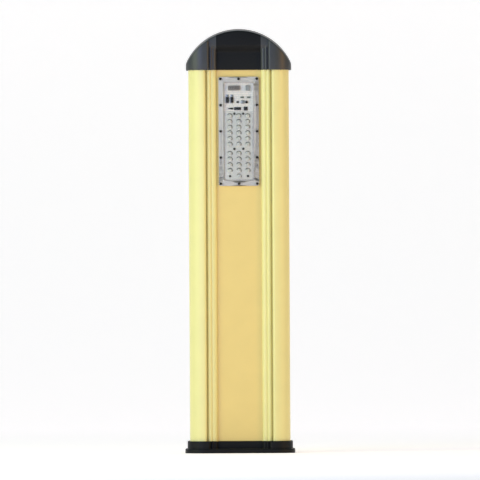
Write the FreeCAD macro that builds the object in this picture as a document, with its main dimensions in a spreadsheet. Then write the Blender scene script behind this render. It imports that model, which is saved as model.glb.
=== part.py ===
import FreeCAD, Part

# Pedestrian crossing light column, in millimetres.
#
# A one metre street column made of two hollow aluminium side profiles, a front panel that carries
# a sealed LED module, a rear service door with the mains equipment behind it, a cast foot that is
# bolted to the ground and a domed cap. X is across the front, the front faces -Y, Z is up, and the
# origin is the centre of the foot's underside.

import math
import os
import re

import Sketcher

SIZES = {
    # The whole column
    "total_height": 1000.0,
    "body_width": 236.8,
    "body_depth": 160.0,
    "profile_bottom": 12.0,
    "profile_length": 900.0,
    "fit_gap": 0.2,
    "overcut": 1.0,
    "through_cut": 30.0,
    # Section of a side profile: a rounded lobe, a groove, two beads and a slot for the panel
    "wall": 2.5,
    "lobe_width": 40.4,
    "corner_round": 35.4,
    "edge_round": 5.0,
    "groove_width": 3.2,
    "groove_depth": 14.0,
    "channel_width": 105.2,
    "channel_depth": 20.0,
    "bead_step": 1.2,
    "bead_valley_x": 65.0,
    "bead_valley_y": 69.0,
    "bead_edge_y": 70.5,
    "inner_bead_round": 9.0,
    "inner_bead_top_x": 61.6,
    "inner_bead_top_y": 69.7,
    "outer_bead_round": 5.4,
    "outer_bead_top_y": 73.0,
    "outer_bead_side_x": 65.2,
    "bead_back_y": 62.0,
    "slot_end_x": 56.2,
    "slot_back_x": 61.0,
    "lip_edge_x": 46.0,
    "port_x": 69.9,
    "port_y": 67.4,
    "port_radius": 2.3,
    # Flat panels in the two channels
    "panel_width": 112.0,
    "panel_thickness": 3.0,
    # Foot and the outline that foot and cap share
    "shoe_gap": 5.8,
    "shoe_clearance": 0.4,
    "shoe_bead_step": 2.2,
    "shoe_valley_x": 61.4,
    "shoe_valley_y": 75.0,
    "shoe_inner_bead_round": 7.0,
    "shoe_outer_bead_round": 4.0,
    "shoe_groove_inner_x": 68.0,
    "shoe_groove_outer_x": 70.2,
    "shoe_groove_y": 76.0,
    "shoe_bead_edge_y": 77.0,
    "foot_height": 28.5,
    "foot_edge_break": 1.2,
    "flange_width": 259.2,
    "flange_depth": 182.4,
    "flange_height": 10.5,
    "flange_corner": 46.0,
    "flange_edge_round": 3.0,
    "anchor_spacing_x": 110.0,
    "anchor_spacing_y": 70.0,
    "anchor_radius": 6.75,
    "cable_hole_radius": 20.0,
    "port_screw_hole": 2.7,
    "port_screw_head": 4.4,
    "port_screw_head_height": 4.0,
    "port_screw_shank": 2.25,
    "port_screw_length": 26.0,
    "counterbore_radius": 5.2,
    "counterbore_depth": 6.5,
    # Cap
    "cap_height": 97.5,
    "cap_skirt": 17.0,
    "cap_crown_round": 600.0,
    "cap_wall": 4.5,
    "hood_half_width": 72.0,
    "hood_back_y": 62.0,
    "hood_face_y": 79.5,
    "hood_low_z": 938.0,
    "hood_rise": 24.0,
    "cap_rib_x": 100.0,
    "cap_rib_thickness": 3.0,
    "cap_rib_half_length": 56.0,
    "cap_screw_y": 30.0,
    "cap_screw_z": 908.0,
    "cap_screw_shank": 2.45,
    "cap_screw_hole": 2.6,
    "cap_screw_head": 4.6,
    "cap_screw_head_height": 2.4,
    "rivet_nut_radius": 3.6,
    "rivet_nut_length": 9.0,
    "top_plate_thickness": 3.0,
    "top_plate_half_width": 106.0,
    "top_plate_half_depth": 72.6,
    "top_plate_neck_x": 65.6,
    "top_plate_neck_y": 53.5,
    "cap_gasket_thickness": 2.0,
    "cap_gasket_inset": 0.4,
    "cap_gasket_width": 9.0,
    # LED module on the front panel
    "module_centre": 758.0,
    "module_width": 95.0,
    "module_height": 257.0,
    "module_corner": 5.0,
    "module_flange": 4.0,
    "tray_width": 78.0,
    "tray_height": 238.0,
    "tray_depth": 6.0,
    "pocket_width": 72.0,
    "pocket_height": 232.0,
    "pocket_floor": 3.0,
    "pocket_corner": 4.0,
    "cutout_gap": 0.5,
    "fin_count_half": 4,
    "fin_pitch": 9.0,
    "fin_thickness": 2.0,
    "fin_reach": 18.0,
    "fin_bottom": 696.0,
    "fin_top": 874.0,
    "module_gasket": 1.0,
    "window_thickness": 2.5,
    "bubble_width": 75.2,
    "bubble_height": 235.2,
    "bubble_rise": 4.5,
    "bubble_wall": 2.2,
    "bubble_corner": 6.0,
    "module_screw_x": 42.8,
    "module_screw_z": 123.5,
    "module_screw_pitch": 61.75,
    "module_screw_shank": 1.95,
    "module_screw_hole": 2.1,
    "module_screw_head": 3.1,
    "module_screw_head_height": 2.4,
    "module_screw_length": 13.0,
    "clamp_frame_width": 91.0,
    "clamp_frame_height": 255.0,
    "clamp_frame_thickness": 2.0,
    # LED board, lens plate and the components on the board
    "board_width": 69.6,
    "board_height": 229.6,
    "board_thickness": 1.6,
    "chip_size": 3.5,
    "chip_height": 0.9,
    "lens_column_pitch": 21.0,
    "lens_row_pitch": 13.4,
    "upper_rows_top": 794.5,
    "lower_rows_top": 706.0,
    "lens_plate_gap": 1.2,
    "lens_plate_thickness": 1.8,
    "lens_plate_width": 64.0,
    "lens_plate_top": 804.0,
    "lens_plate_bottom": 644.5,
    "lens_plate_corner": 3.0,
    "lens_radius": 6.0,
    "lens_height": 4.6,
    "lens_shoulder": 2.2,
    "lens_top_radius": 3.6,
    "lens_screw_x": 10.5,
    "lens_screw_top": 799.5,
    "lens_screw_middle": 717.0,
    "lens_screw_shank": 1.45,
    "lens_screw_hole": 1.6,
    "lens_thread_depth": 0.05,
    "lens_screw_head": 2.75,
    "lens_screw_head_height": 2.0,
    "lens_screw_length": 6.6,
    "transistor_width": 7.0,
    "transistor_height": 13.0,
    "transistor_depth": 4.4,
    "transistor_left": -26.7,
    "transistor_right": -15.8,
    "transistor_z": 832.0,
    "tab_height": 6.0,
    "tab_depth": 1.2,
    "rectifier_x": -2.1,
    "rectifier_z": 826.8,
    "rectifier_width": 7.0,
    "rectifier_height": 4.6,
    "chip_depth": 2.2,
    "driver_x": -18.8,
    "driver_width": 12.0,
    "driver_height": 5.0,
    "controller_x": -2.6,
    "controller_width": 16.0,
    "controller_height": 9.4,
    "regulator_x": 16.4,
    "regulator_width": 9.8,
    "chip_row_z": 811.5,
    "coil_x": 9.6,
    "coil_z": 826.8,
    "coil_radius": 4.2,
    "coil_height": 4.8,
    "capacitor_x": 18.8,
    "capacitor_radius": 3.3,
    "capacitor_height": 5.6,
    "varistor_z": 838.0,
    "varistor_right_x": 23.5,
    "varistor_left_x": 8.0,
    "varistor_width": 9.4,
    "varistor_height": 3.4,
    "connector_left": -25.0,
    "connector_right": 3.2,
    "connector_z": 860.0,
    "connector_height": 11.0,
    "connector_depth": 6.2,
    "fuse_x": 21.6,
    "fuse_width": 10.4,
    "fuse_height": 13.0,
    "fuse_depth": 5.4,
    # Module cable gland
    "gland_z": 668.0,
    "gland_radius": 8.0,
    "gland_length": 7.0,
    "gland_nut_radius": 7.0,
    "gland_nut_length": 8.0,
    "cable_radius": 3.0,
    "cable_bend_y": -17.0,
    "cable_side_x": 54.0,
    "cable_drop": 110.0,
    "cable_tail": 46.0,
    "cable_gap": 0.15,
    # Rear panels and service door
    "door_bottom": 71.5,
    "door_top": 428.5,
    "door_gap": 1.5,
    "door_left": -50.3,
    "door_right": 51.8,
    "door_inner_face": 58.5,
    "door_sheet": 2.0,
    "door_rib_x": 18.0,
    "door_rib_thickness": 2.0,
    "door_rib_depth": 8.0,
    "door_rib_end": 18.0,
    "seal_depth": 1.5,
    "seal_inset": 0.3,
    "seal_width": 4.4,
    "frame_bar_half_width": 45.8,
    "frame_bar_overlap": 12.0,
    "hinge_x": -49.3,
    "hinge_y": 63.5,
    "knuckle_radius": 3.0,
    "knuckle_length": 22.0,
    "knuckle_gap": 2.0,
    "knuckle_leaf_width": 16.0,
    "knuckle_leaf_thickness": 1.4,
    "pin_radius": 1.5,
    "pin_hole_radius": 1.56,
    "pin_end_gap": 2.0,
    # Quarter-turn lock
    "lock_x": 34.0,
    "lock_z": 250.0,
    "lock_flange_radius": 10.0,
    "lock_flange_thickness": 2.2,
    "lock_barrel_radius": 7.0,
    "lock_barrel_hole": 7.2,
    "lock_barrel_end": 54.0,
    "lock_bore": 4.56,
    "lock_nut_radius": 10.5,
    "lock_nut_thickness": 3.0,
    "spindle_radius": 4.5,
    "spindle_key_radius": 3.4,
    "spindle_recess": 0.8,
    "spindle_key_depth": 4.0,
    "spindle_moat_width": 0.7,
    "cam_back": 50.6,
    "cam_thickness": 2.6,
    "cam_width": 11.0,
    "cam_reach": 20.0,
    "cam_tail": 6.5,
    "cam_screw_radius": 3.6,
    "cam_screw_height": 2.2,
    # Equipment plate and cross bars
    "bar_half_length": 77.8,
    "bar_height": 22.0,
    "bar_thickness": 3.0,
    "bar_tab_depth": 20.0,
    "bar_tab_thickness": 2.5,
    "lower_bar_z": 118.0,
    "upper_bar_z": 462.0,
    "plate_back": -38.0,
    "plate_thickness": 2.0,
    "plate_half_width": 68.0,
    "plate_bottom": 100.0,
    "plate_top": 480.0,
    "plate_screw_x": 60.0,
    "bar_screw_y": -26.0,
    "bar_screw_shank": 2.45,
    "bar_screw_hole": 2.6,
    "bar_screw_head": 4.4,
    "bar_screw_head_height": 3.0,
    "bar_screw_length": 7.6,
    # Equipment on the DIN rail
    "rail_z": 290.0,
    "rail_half_length": 62.0,
    "rail_depth": 7.5,
    "rail_base": 13.5,
    "rail_edge": 17.5,
    "rail_sheet": 1.0,
    "device_gap": 0.1,
    "device_half_height": 42.5,
    "device_body_depth": 40.0,
    "device_nose_half_height": 22.5,
    "device_nose_depth": 52.0,
    "breaker_left": -56.0,
    "breaker_width": 36.0,
    "toggle_x": -38.0,
    "toggle_half_width": 6.0,
    "toggle_slot_gap": 0.5,
    "toggle_slot_half_height": 9.0,
    "toggle_slot_depth": 13.0,
    "toggle_inset": 6.5,
    "toggle_radius": 5.6,
    "toggle_reach": 14.0,
    "toggle_thickness": 4.0,
    "toggle_angle": 40.0,
    "arrester_left": -18.0,
    "arrester_width": 18.0,
    "arrester_window_width": 8.0,
    "arrester_window_height": 4.0,
    "arrester_window_depth": 0.8,
    "terminal_left": 6.0,
    "terminal_width": 8.0,
    "terminal_pitch": 8.3,
    "terminal_half_height": 23.0,
    "terminal_depth": 34.0,
    "terminal_step": 9.0,
    "terminal_shoulder": 22.0,
    "terminal_screw_radius": 2.6,
    "terminal_screw_depth": 4.0,
    "control_half_width": 44.0,
    "control_bottom": 372.0,
    "control_top": 446.0,
    "control_depth": 26.0,
    "control_wall": 2.4,
    "control_lid": 3.0,
    "control_corner": 4.0,
    "control_screw_inset": 6.0,
    "control_screw_radius": 2.4,
    "earth_x": -50.0,
    "earth_z": 150.0,
    "earth_stud_radius": 3.0,
    "earth_stud_reach": 18.0,
    "earth_nut_radius": 5.6,
    "earth_nut_height": 5.0,
    "earth_head_height": 3.0,
    "earth_wire_lift": 3.2,
    "earth_wire_run": 24.0,
    "earth_wire_tail": 38.0,
    "earth_washer_radius": 7.0,
    "earth_washer_height": 1.4,
    "clamp_x": 0.0,
    "clamp_half_width": 16.0,
    "clamp_height": 12.0,
    "clamp_low_z": 108.0,
    "clamp_depth": 16.0,
    "clamp_hole": 6.5,
    "wire_radius": 1.4,
    "wire_entry_depth": 12.0,
    "breaker_entry_depth": 10.0,
    "line_wire_dip": 26.0,
    "neutral_wire_dip": 40.0,
}

FRONT_FLOOR = "body_depth / 2 - channel_depth"
LOBE_EDGE = "body_width / 2 - lobe_width"
PROFILE_TOP = "profile_bottom + profile_length"
CAP_BOTTOM = "total_height - cap_height"
LENS_COLUMNS = (-1, 0, 1)
UPPER_ROWS = 6
LOWER_ROWS = 5
TERMINALS = 5
AXES = {
    "+x": FreeCAD.Vector(1, 0, 0),
    "-x": FreeCAD.Vector(-1, 0, 0),
    "+y": FreeCAD.Vector(0, 1, 0),
    "-y": FreeCAD.Vector(0, -1, 0),
    "+z": FreeCAD.Vector(0, 0, 1),
    "-z": FreeCAD.Vector(0, 0, -1),
}

doc = FreeCAD.newDocument("crossing_light")
sheet = doc.addObject("Spreadsheet::Sheet", "Sizes")
for line_number, (alias, size) in enumerate(SIZES.items(), start=1):
    sheet.set(f"A{line_number}", alias)
    sheet.set(f"B{line_number}", str(size))
    sheet.setAlias(f"B{line_number}", alias)
doc.recompute()

parts = {}


# ---------------------------------------------------------------- expressions and sketches


def cells(text):
    """An expression with each size's name written as its cell in the sheet."""
    return re.sub(r"[a-z][a-z_]*", lambda m: f"Sizes.{m[0]}" if m[0] in SIZES else m[0], str(text))


def value(text):
    """The number that an expression has now."""
    return float(sheet.evalExpression(cells(text)))


def bind(thing, **expressions):
    """Ties properties of an object to expressions; Base_x stands for Placement.Base.x."""
    for name, text in expressions.items():
        place = name.replace("Base_", "Placement.Base.")
        thing.setExpression(place, cells(text))
    return thing


def minus(text):
    return f"-({text})"


def mirrored(path, flip_x=False, flip_y=False):
    """A path seen in a mirror; with one flip its points run backwards, so that it still turns left."""
    points = [
        (minus(p[0]) if flip_x else p[0], minus(p[1]) if flip_y else p[1]) for p in path
    ]
    bends = [p[2:] for p in path]
    if flip_x != flip_y:
        points = points[::-1]
        bends = [()] + bends[:0:-1]
    return [point + tuple(bend) for point, bend in zip(points, bends)]


def four_quarters(quarter):
    """A closed outline from its front right quarter."""
    return (
        quarter
        + mirrored(quarter, flip_y=True)
        + mirrored(quarter, flip_x=True, flip_y=True)
        + mirrored(quarter, flip_x=True)
    )


def rectangle(left, right, low, high, corner=None):
    """A rectangle, with rounded corners if corner is given."""
    if corner is None:
        return [(left, low), (right, low), (right, high), (left, high)]
    return [
        (f"{left} + {corner}", low),
        (f"{right} - ({corner})", low),
        (right, f"{low} + {corner}", corner),
        (right, f"{high} - ({corner})"),
        (f"{right} - ({corner})", high, corner),
        (f"{left} + {corner}", high),
        (left, f"{high} - ({corner})", corner),
        (left, f"{low} + {corner}"),
        (f"{left} + {corner}", low, corner),
    ]


def fix(sketch, kind, geometry, point, text):
    """Holds a point's distance from the sketch's origin to an expression."""
    number = sketch.addConstraint(
        Sketcher.Constraint(kind, -1, 1, geometry, point, value(text))
    )
    sketch.setExpression(f"Constraints[{number}]", cells(text))


def fix_radius(sketch, geometry, text):
    number = sketch.addConstraint(Sketcher.Constraint("Radius", geometry, value(text)))
    sketch.setExpression(f"Constraints[{number}]", cells(text))


def draw_outline(sketch, outline):
    """Draws a closed outline of (x, y) or (x, y, radius) points.

    An arc of that radius, turning left, leads to a point that has one.
    """
    closed_by_arc = outline[0][:2] == outline[-1][:2]
    corners = outline[1:] if closed_by_arc else outline[1:] + [outline[0][:2]]
    ends = []
    here = FreeCAD.Vector(value(outline[0][0]), value(outline[0][1]), 0)
    for corner in corners:
        there = FreeCAD.Vector(value(corner[0]), value(corner[1]), 0)
        if len(corner) == 2:
            edge = Part.LineSegment(here, there)
        else:
            radius = value(corner[2])
            chord = there - here
            left = FreeCAD.Vector(-chord.y, chord.x, 0).normalize()
            reach = math.sqrt(max(radius**2 - chord.Length**2 / 4, 0))
            centre = (here + there) / 2 + left * reach
            start = math.atan2(here.y - centre.y, here.x - centre.x)
            stop = math.atan2(there.y - centre.y, there.x - centre.x)
            edge = Part.ArcOfCircle(Part.Circle(centre, AXES["+z"], radius), start, stop)
        geometry = sketch.addGeometry(edge, False)
        if len(corner) > 2:
            fix_radius(sketch, geometry, corner[2])
        ends.append((geometry, corner))
        here = there
    for (geometry, corner), (following, _) in zip(ends, ends[1:] + ends[:1]):
        sketch.addConstraint(Sketcher.Constraint("Coincident", geometry, 2, following, 1))
        fix(sketch, "DistanceX", geometry, 2, corner[0])
        fix(sketch, "DistanceY", geometry, 2, corner[1])


def draw_circle(sketch, x, y, radius):
    centre = FreeCAD.Vector(value(x), value(y), 0)
    geometry = sketch.addGeometry(Part.Circle(centre, AXES["+z"], value(radius)), False)
    fix(sketch, "DistanceX", geometry, 3, x)
    fix(sketch, "DistanceY", geometry, 3, y)
    fix_radius(sketch, geometry, radius)


def new_sketch(body, plane, name):
    """A sketch on one of the body's own origin planes."""
    sketch = body.newObject("Sketcher::SketchObject", name)
    support = next(f for f in body.Origin.OriginFeatures if f.Role == plane)
    sketch.AttachmentSupport = [(support, "")]
    sketch.MapMode = "FlatFace"
    return sketch


def pad(name, plane, outlines, low, high, circles=()):
    """A body with one pad between two heights along the plane's axis.

    The outlines after the first, and the circles, are holes.
    """
    body = doc.addObject("PartDesign::Body", name)
    sketch = new_sketch(body, plane, f"{name}_sketch")
    for outline in outlines:
        draw_outline(sketch, outline)
    for x, y, radius in circles:
        draw_circle(sketch, x, y, radius)
    # The XZ plane faces -Y, so its pad starts at the high end.
    start = minus(high) if plane == "XZ_Plane" else low
    sketch.setExpression("AttachmentOffset.Base.z", cells(start))
    feature = body.newObject("PartDesign::Pad", f"{name}_pad")
    feature.Profile = sketch
    bind(feature, Length=f"{high} - ({low})")
    return body


# ---------------------------------------------------------------- primitives and groups


def block(name, x, y, z):
    """A box between two expressions on each axis."""
    box = doc.addObject("Part::Box", name)
    return bind(
        box,
        Length=f"{x[1]} - ({x[0]})",
        Width=f"{y[1]} - ({y[0]})",
        Height=f"{z[1]} - ({z[0]})",
        Base_x=x[0],
        Base_y=y[0],
        Base_z=z[0],
    )


def place(thing, at, along):
    thing.Placement = FreeCAD.Placement(
        FreeCAD.Vector(0, 0, 0), FreeCAD.Rotation(AXES["+z"], AXES[along])
    )
    return bind(thing, Base_x=at[0], Base_y=at[1], Base_z=at[2])


def rod(name, radius, length, at, along="+z"):
    """A cylinder that starts at a point and runs along an axis."""
    cylinder = doc.addObject("Part::Cylinder", name)
    bind(cylinder, Radius=radius, Height=length)
    return place(cylinder, at, along)


def taper(name, radius, end_radius, length, at, along="+z"):
    cone = doc.addObject("Part::Cone", name)
    bind(cone, Radius1=radius, Radius2=end_radius, Height=length)
    return place(cone, at, along)


def hexagon(name, radius, length, at, along="+z"):
    prism = doc.addObject("Part::Prism", name)
    prism.Polygon = 6
    bind(prism, Circumradius=radius, Height=length)
    return place(prism, at, along)


def joined(name, things):
    if len(things) == 1:
        return things[0]
    fusion = doc.addObject("Part::MultiFuse", name)
    fusion.Shapes = things
    fusion.Refine = True
    return fusion


def cut(name, base, tools):
    result = doc.addObject("Part::Cut", name)
    result.Base = base
    result.Tool = joined(f"{name}_tools", tools)
    return result


def common(name, first, second):
    result = doc.addObject("Part::MultiCommon", name)
    result.Shapes = [first, second]
    return result


def group(name, things):
    """Separate solids that share one node."""
    compound = doc.addObject("Part::Compound", name)
    compound.Links = things
    return compound


def keep(label, thing):
    """Names a finished piece; its label is its node and its file."""
    thing.Label = label
    parts[label] = thing
    return thing


def shifted(point, along, distance):
    """A point moved along an axis by an expression."""
    axis = AXES[along]
    return tuple(
        f"{p} + {step} * ({distance})" if step else p
        for p, step in zip(point, (int(axis.x), int(axis.y), int(axis.z)))
    )


OPPOSITE = {"+x": "-x", "-x": "+x", "+y": "-y", "-y": "+y", "+z": "-z", "-z": "+z"}


def screw(name, seat, out, head, head_height, shank, length):
    """A socket screw: seat is the point under its head, and out is the way that its head faces."""
    top = rod(f"{name}_head", head, head_height, seat, out)
    stem = rod(f"{name}_stem", shank, length, seat, OPPOSITE[out])
    socket_at = shifted(seat, out, f"{head_height} * 0.4")
    socket = hexagon(f"{name}_socket", f"{head} * 0.5", head_height, socket_at, out)
    return cut(name, joined(f"{name}_blank", [top, stem]), [socket])


def corners(x, y):
    """The four points (x, y) with either sign."""
    return [(sx(x), sy(y)) for sx in (minus, str) for sy in (minus, str)]


# ---------------------------------------------------------------- outlines


def profile_half():
    """Front half of the right side profile.

    It runs from the web round the panel slot and over the beads to the outer side.
    """
    channel = "channel_width / 2"
    floor = FRONT_FLOOR
    slot_front = f"{minus(floor)} - fit_gap"
    lip_front = f"{minus(floor)} + panel_thickness + fit_gap"
    lip_back = f"{lip_front} + wall"
    front = "-body_depth / 2"
    side = "body_width / 2"
    return [
        (LOBE_EDGE, "-bead_back_y"),
        ("slot_back_x", "-bead_back_y"),
        ("slot_back_x", lip_back),
        ("lip_edge_x", lip_back),
        ("lip_edge_x", lip_front),
        ("slot_end_x", lip_front),
        ("slot_end_x", slot_front),
        (channel, slot_front),
        (channel, f"{minus(floor)} - bead_step"),
        ("bead_valley_x", "-bead_valley_y", "inner_bead_round"),
        (f"{LOBE_EDGE} - groove_width", "-bead_edge_y", "outer_bead_round"),
        (f"{LOBE_EDGE} - groove_width", f"{front} + groove_depth"),
        (LOBE_EDGE, f"{front} + groove_depth"),
        (LOBE_EDGE, f"{front} + edge_round"),
        (f"{LOBE_EDGE} + edge_round", front, "edge_round"),
        (side, f"{front} + corner_round", "corner_round"),
    ]


def lobe_hollow_half():
    """Front half of the hollow in the right lobe."""
    front = "-body_depth / 2"
    return [
        (f"{LOBE_EDGE} + wall", f"{front} + edge_round"),
        (f"{LOBE_EDGE} + edge_round", f"{front} + wall", "edge_round - wall"),
        ("body_width / 2 - wall", f"{front} + corner_round", "corner_round - wall"),
    ]


def body_outline(gap):
    """The column's section without its grooves, grown by gap."""
    channel = f"channel_width / 2 - {gap}"
    front = "-body_depth / 2"
    lobe = f"{LOBE_EDGE} - {gap}"
    return four_quarters(
        [
            (channel, f"{minus(FRONT_FLOOR)} - {gap}"),
            (channel, f"{minus(FRONT_FLOOR)} - bead_step"),
            ("inner_bead_top_x", f"-inner_bead_top_y - {gap}", f"inner_bead_round + {gap}"),
            ("outer_bead_side_x", f"-outer_bead_top_y - {gap}"),
            (lobe, f"-outer_bead_top_y - {gap}"),
            (lobe, f"{front} + edge_round"),
            (f"{LOBE_EDGE} + edge_round", f"{front} - {gap}", f"edge_round + {gap}"),
            (
                f"body_width / 2 + {gap}",
                f"{front} + corner_round",
                f"corner_round + {gap}",
            ),
        ]
    )


def shoe_outline():
    """The outline that the foot's block and the cap share, outside the column's own."""
    channel = "channel_width / 2 - fit_gap"
    floor = f"{minus(FRONT_FLOOR)} - shoe_gap"
    front = "-body_depth / 2 - shoe_gap"
    return four_quarters(
        [
            (channel, floor),
            (channel, f"{floor} - shoe_bead_step"),
            ("shoe_valley_x", "-shoe_valley_y", "shoe_inner_bead_round"),
            ("shoe_groove_inner_x", "-shoe_bead_edge_y", "shoe_outer_bead_round"),
            ("shoe_groove_inner_x", "-shoe_groove_y"),
            ("shoe_groove_outer_x", "-shoe_groove_y"),
            ("shoe_groove_outer_x", f"{front} + edge_round"),
            ("shoe_groove_outer_x + edge_round", front, "edge_round"),
            ("body_width / 2 - corner_round", front),
            (
                "body_width / 2 + shoe_gap",
                "corner_round - body_depth / 2",
                "corner_round + shoe_gap",
            ),
        ]
    )


# ---------------------------------------------------------------- foot and side profiles


def level_edges(thing, height, tolerance=1e-4):
    """Numbers of the edges that lie wholly at one height."""
    doc.recompute()
    return [
        number
        for number, edge in enumerate(thing.Shape.Edges, start=1)
        if abs(edge.BoundBox.ZMin - height) < tolerance
        and abs(edge.BoundBox.ZMax - height) < tolerance
    ]


def rounded(kind, name, base, height, radius):
    """Rounds or breaks the edges of a thing that lie at one height."""
    result = doc.addObject(kind, name)
    result.Base = base
    result.Edges = [(n, radius, radius) for n in level_edges(base, height)]
    return result


def make_foot():
    """Cast foot: a flange, a block that wraps the column and a floor that is bolted down."""
    half_width, half_depth = "flange_width / 2", "flange_depth / 2"
    flange = pad(
        "foot_flange_blank",
        "XY_Plane",
        [rectangle(minus(half_width), half_width, minus(half_depth), half_depth, "flange_corner")],
        "0",
        "flange_height",
    )
    flange = rounded(
        "Part::Fillet", "foot_flange", flange, value("flange_height"), value("flange_edge_round")
    )
    sleeve = pad("foot_block_blank", "XY_Plane", [shoe_outline()], "flange_height / 2", "foot_height")
    sleeve = rounded(
        "Part::Chamfer", "foot_block", sleeve, value("foot_height"), value("foot_edge_break")
    )
    socket = pad(
        "foot_socket",
        "XY_Plane",
        [body_outline("shoe_clearance")],
        "profile_bottom",
        "foot_height + overcut",
    )
    holes = [rod("foot_cable_hole", "cable_hole_radius", "foot_height", ("0", "0", "-overcut"))]
    for n, (x, y) in enumerate(corners("anchor_spacing_x / 2", "anchor_spacing_y / 2")):
        holes.append(rod(f"foot_anchor_{n}", "anchor_radius", "foot_height", (x, y, "-overcut")))
    for n, (x, y) in enumerate(corners("port_x", "port_y")):
        holes.append(rod(f"foot_port_{n}", "port_screw_hole", "foot_height", (x, y, "-overcut")))
        holes.append(
            rod(
                f"foot_recess_{n}",
                "counterbore_radius",
                "counterbore_depth + overcut",
                (x, y, "-overcut"),
            )
        )
    blank = joined("foot_blank", [flange, sleeve])
    keep("base_foot", cut("base_foot", blank, [socket] + holes))
    screws = [
        screw(
            f"foot_screw_{n}",
            (x, y, "counterbore_depth"),
            "-z",
            "port_screw_head",
            "port_screw_head_height",
            "port_screw_shank",
            "port_screw_length",
        )
        for n, (x, y) in enumerate(corners("port_x", "port_y"))
    ]
    keep("foot_screws", group("foot_screws", screws))


def make_side_profiles():
    """Two hollow extrusions that carry the panels, with screw ports for foot and cap plate."""
    outer = profile_half() + mirrored(profile_half(), flip_y=True)
    hollow = lobe_hollow_half() + mirrored(lobe_hollow_half(), flip_y=True)
    for side, flip, out in (("right", False, "+x"), ("left", True, "-x")):
        outlines = [mirrored(path, flip_x=True) if flip else path for path in (outer, hollow)]
        x = minus("port_x") if flip else "port_x"
        ports = [(x, "port_y", "port_radius"), (x, "-port_y", "port_radius")]
        bar = pad(
            f"{side}_profile_blank", "XY_Plane", outlines, "profile_bottom", PROFILE_TOP, ports
        )
        sign = -1 if flip else 1
        holes = []
        for n, y in enumerate(("-cap_screw_y", "cap_screw_y")):
            start = (f"{sign} * (body_width / 2 - 2 * wall)", y, "cap_screw_z")
            holes.append(rod(f"{side}_nut_hole_{n}", "rivet_nut_radius", "4 * wall", start, out))
        for n, z in enumerate(("lower_bar_z", "upper_bar_z")):
            start = (f"{sign} * ({LOBE_EDGE} - wall)", "bar_screw_y", z)
            holes.append(rod(f"{side}_bar_hole_{n}", "bar_screw_hole", "3 * wall", start, out))
        keep(f"side_profile_{side}", cut(f"side_profile_{side}", bar, holes))


# ---------------------------------------------------------------- cap


SHELL_TOP = "total_height + overcut"


def dome(name, inset):
    """A solid of revolution under the double-curved top of the cap, drawn in by inset."""
    half = "(body_width / 2 + shoe_gap)"
    rise = "(cap_height - cap_skirt)"
    cross_round = f"({half}^2 + {rise}^2) / (2 * {rise})"
    radius = f"({cross_round} - {inset})"
    axis_z = "total_height - cap_crown_round"
    edge_x = f"({half} - {inset})"
    edge_z = f"total_height - {cross_round} + sqrt({radius}^2 - {edge_x}^2)"
    body = doc.addObject("PartDesign::Body", name)
    sketch = new_sketch(body, "XZ_Plane", f"{name}_sketch")
    draw_outline(
        sketch,
        [
            (minus(edge_x), axis_z),
            (edge_x, axis_z),
            (edge_x, edge_z),
            (minus(edge_x), edge_z, radius),
        ],
    )
    turn = body.newObject("PartDesign::Revolution", f"{name}_turn")
    turn.Profile = sketch
    turn.ReferenceAxis = (sketch, ["Edge1"])
    turn.Angle = 360
    return body


def make_hoods():
    """Front and rear hoods that close the cap's recesses at the top, each with a sloping soffit."""
    front = [
        (minus("hood_back_y"), "hood_low_z"),
        (minus("hood_back_y"), SHELL_TOP),
        (minus("hood_face_y"), SHELL_TOP),
        (minus("hood_face_y"), "hood_low_z + hood_rise"),
    ]
    ends = [
        pad(f"cap_hood_{end}", "YZ_Plane", [outline], minus("hood_half_width"), "hood_half_width")
        for end, outline in (("front", front), ("rear", mirrored(front, flip_x=True)))
    ]
    return common("cap_hoods", group("cap_hood_pair", ends), dome("cap_hood_dome", "0"))


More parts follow.
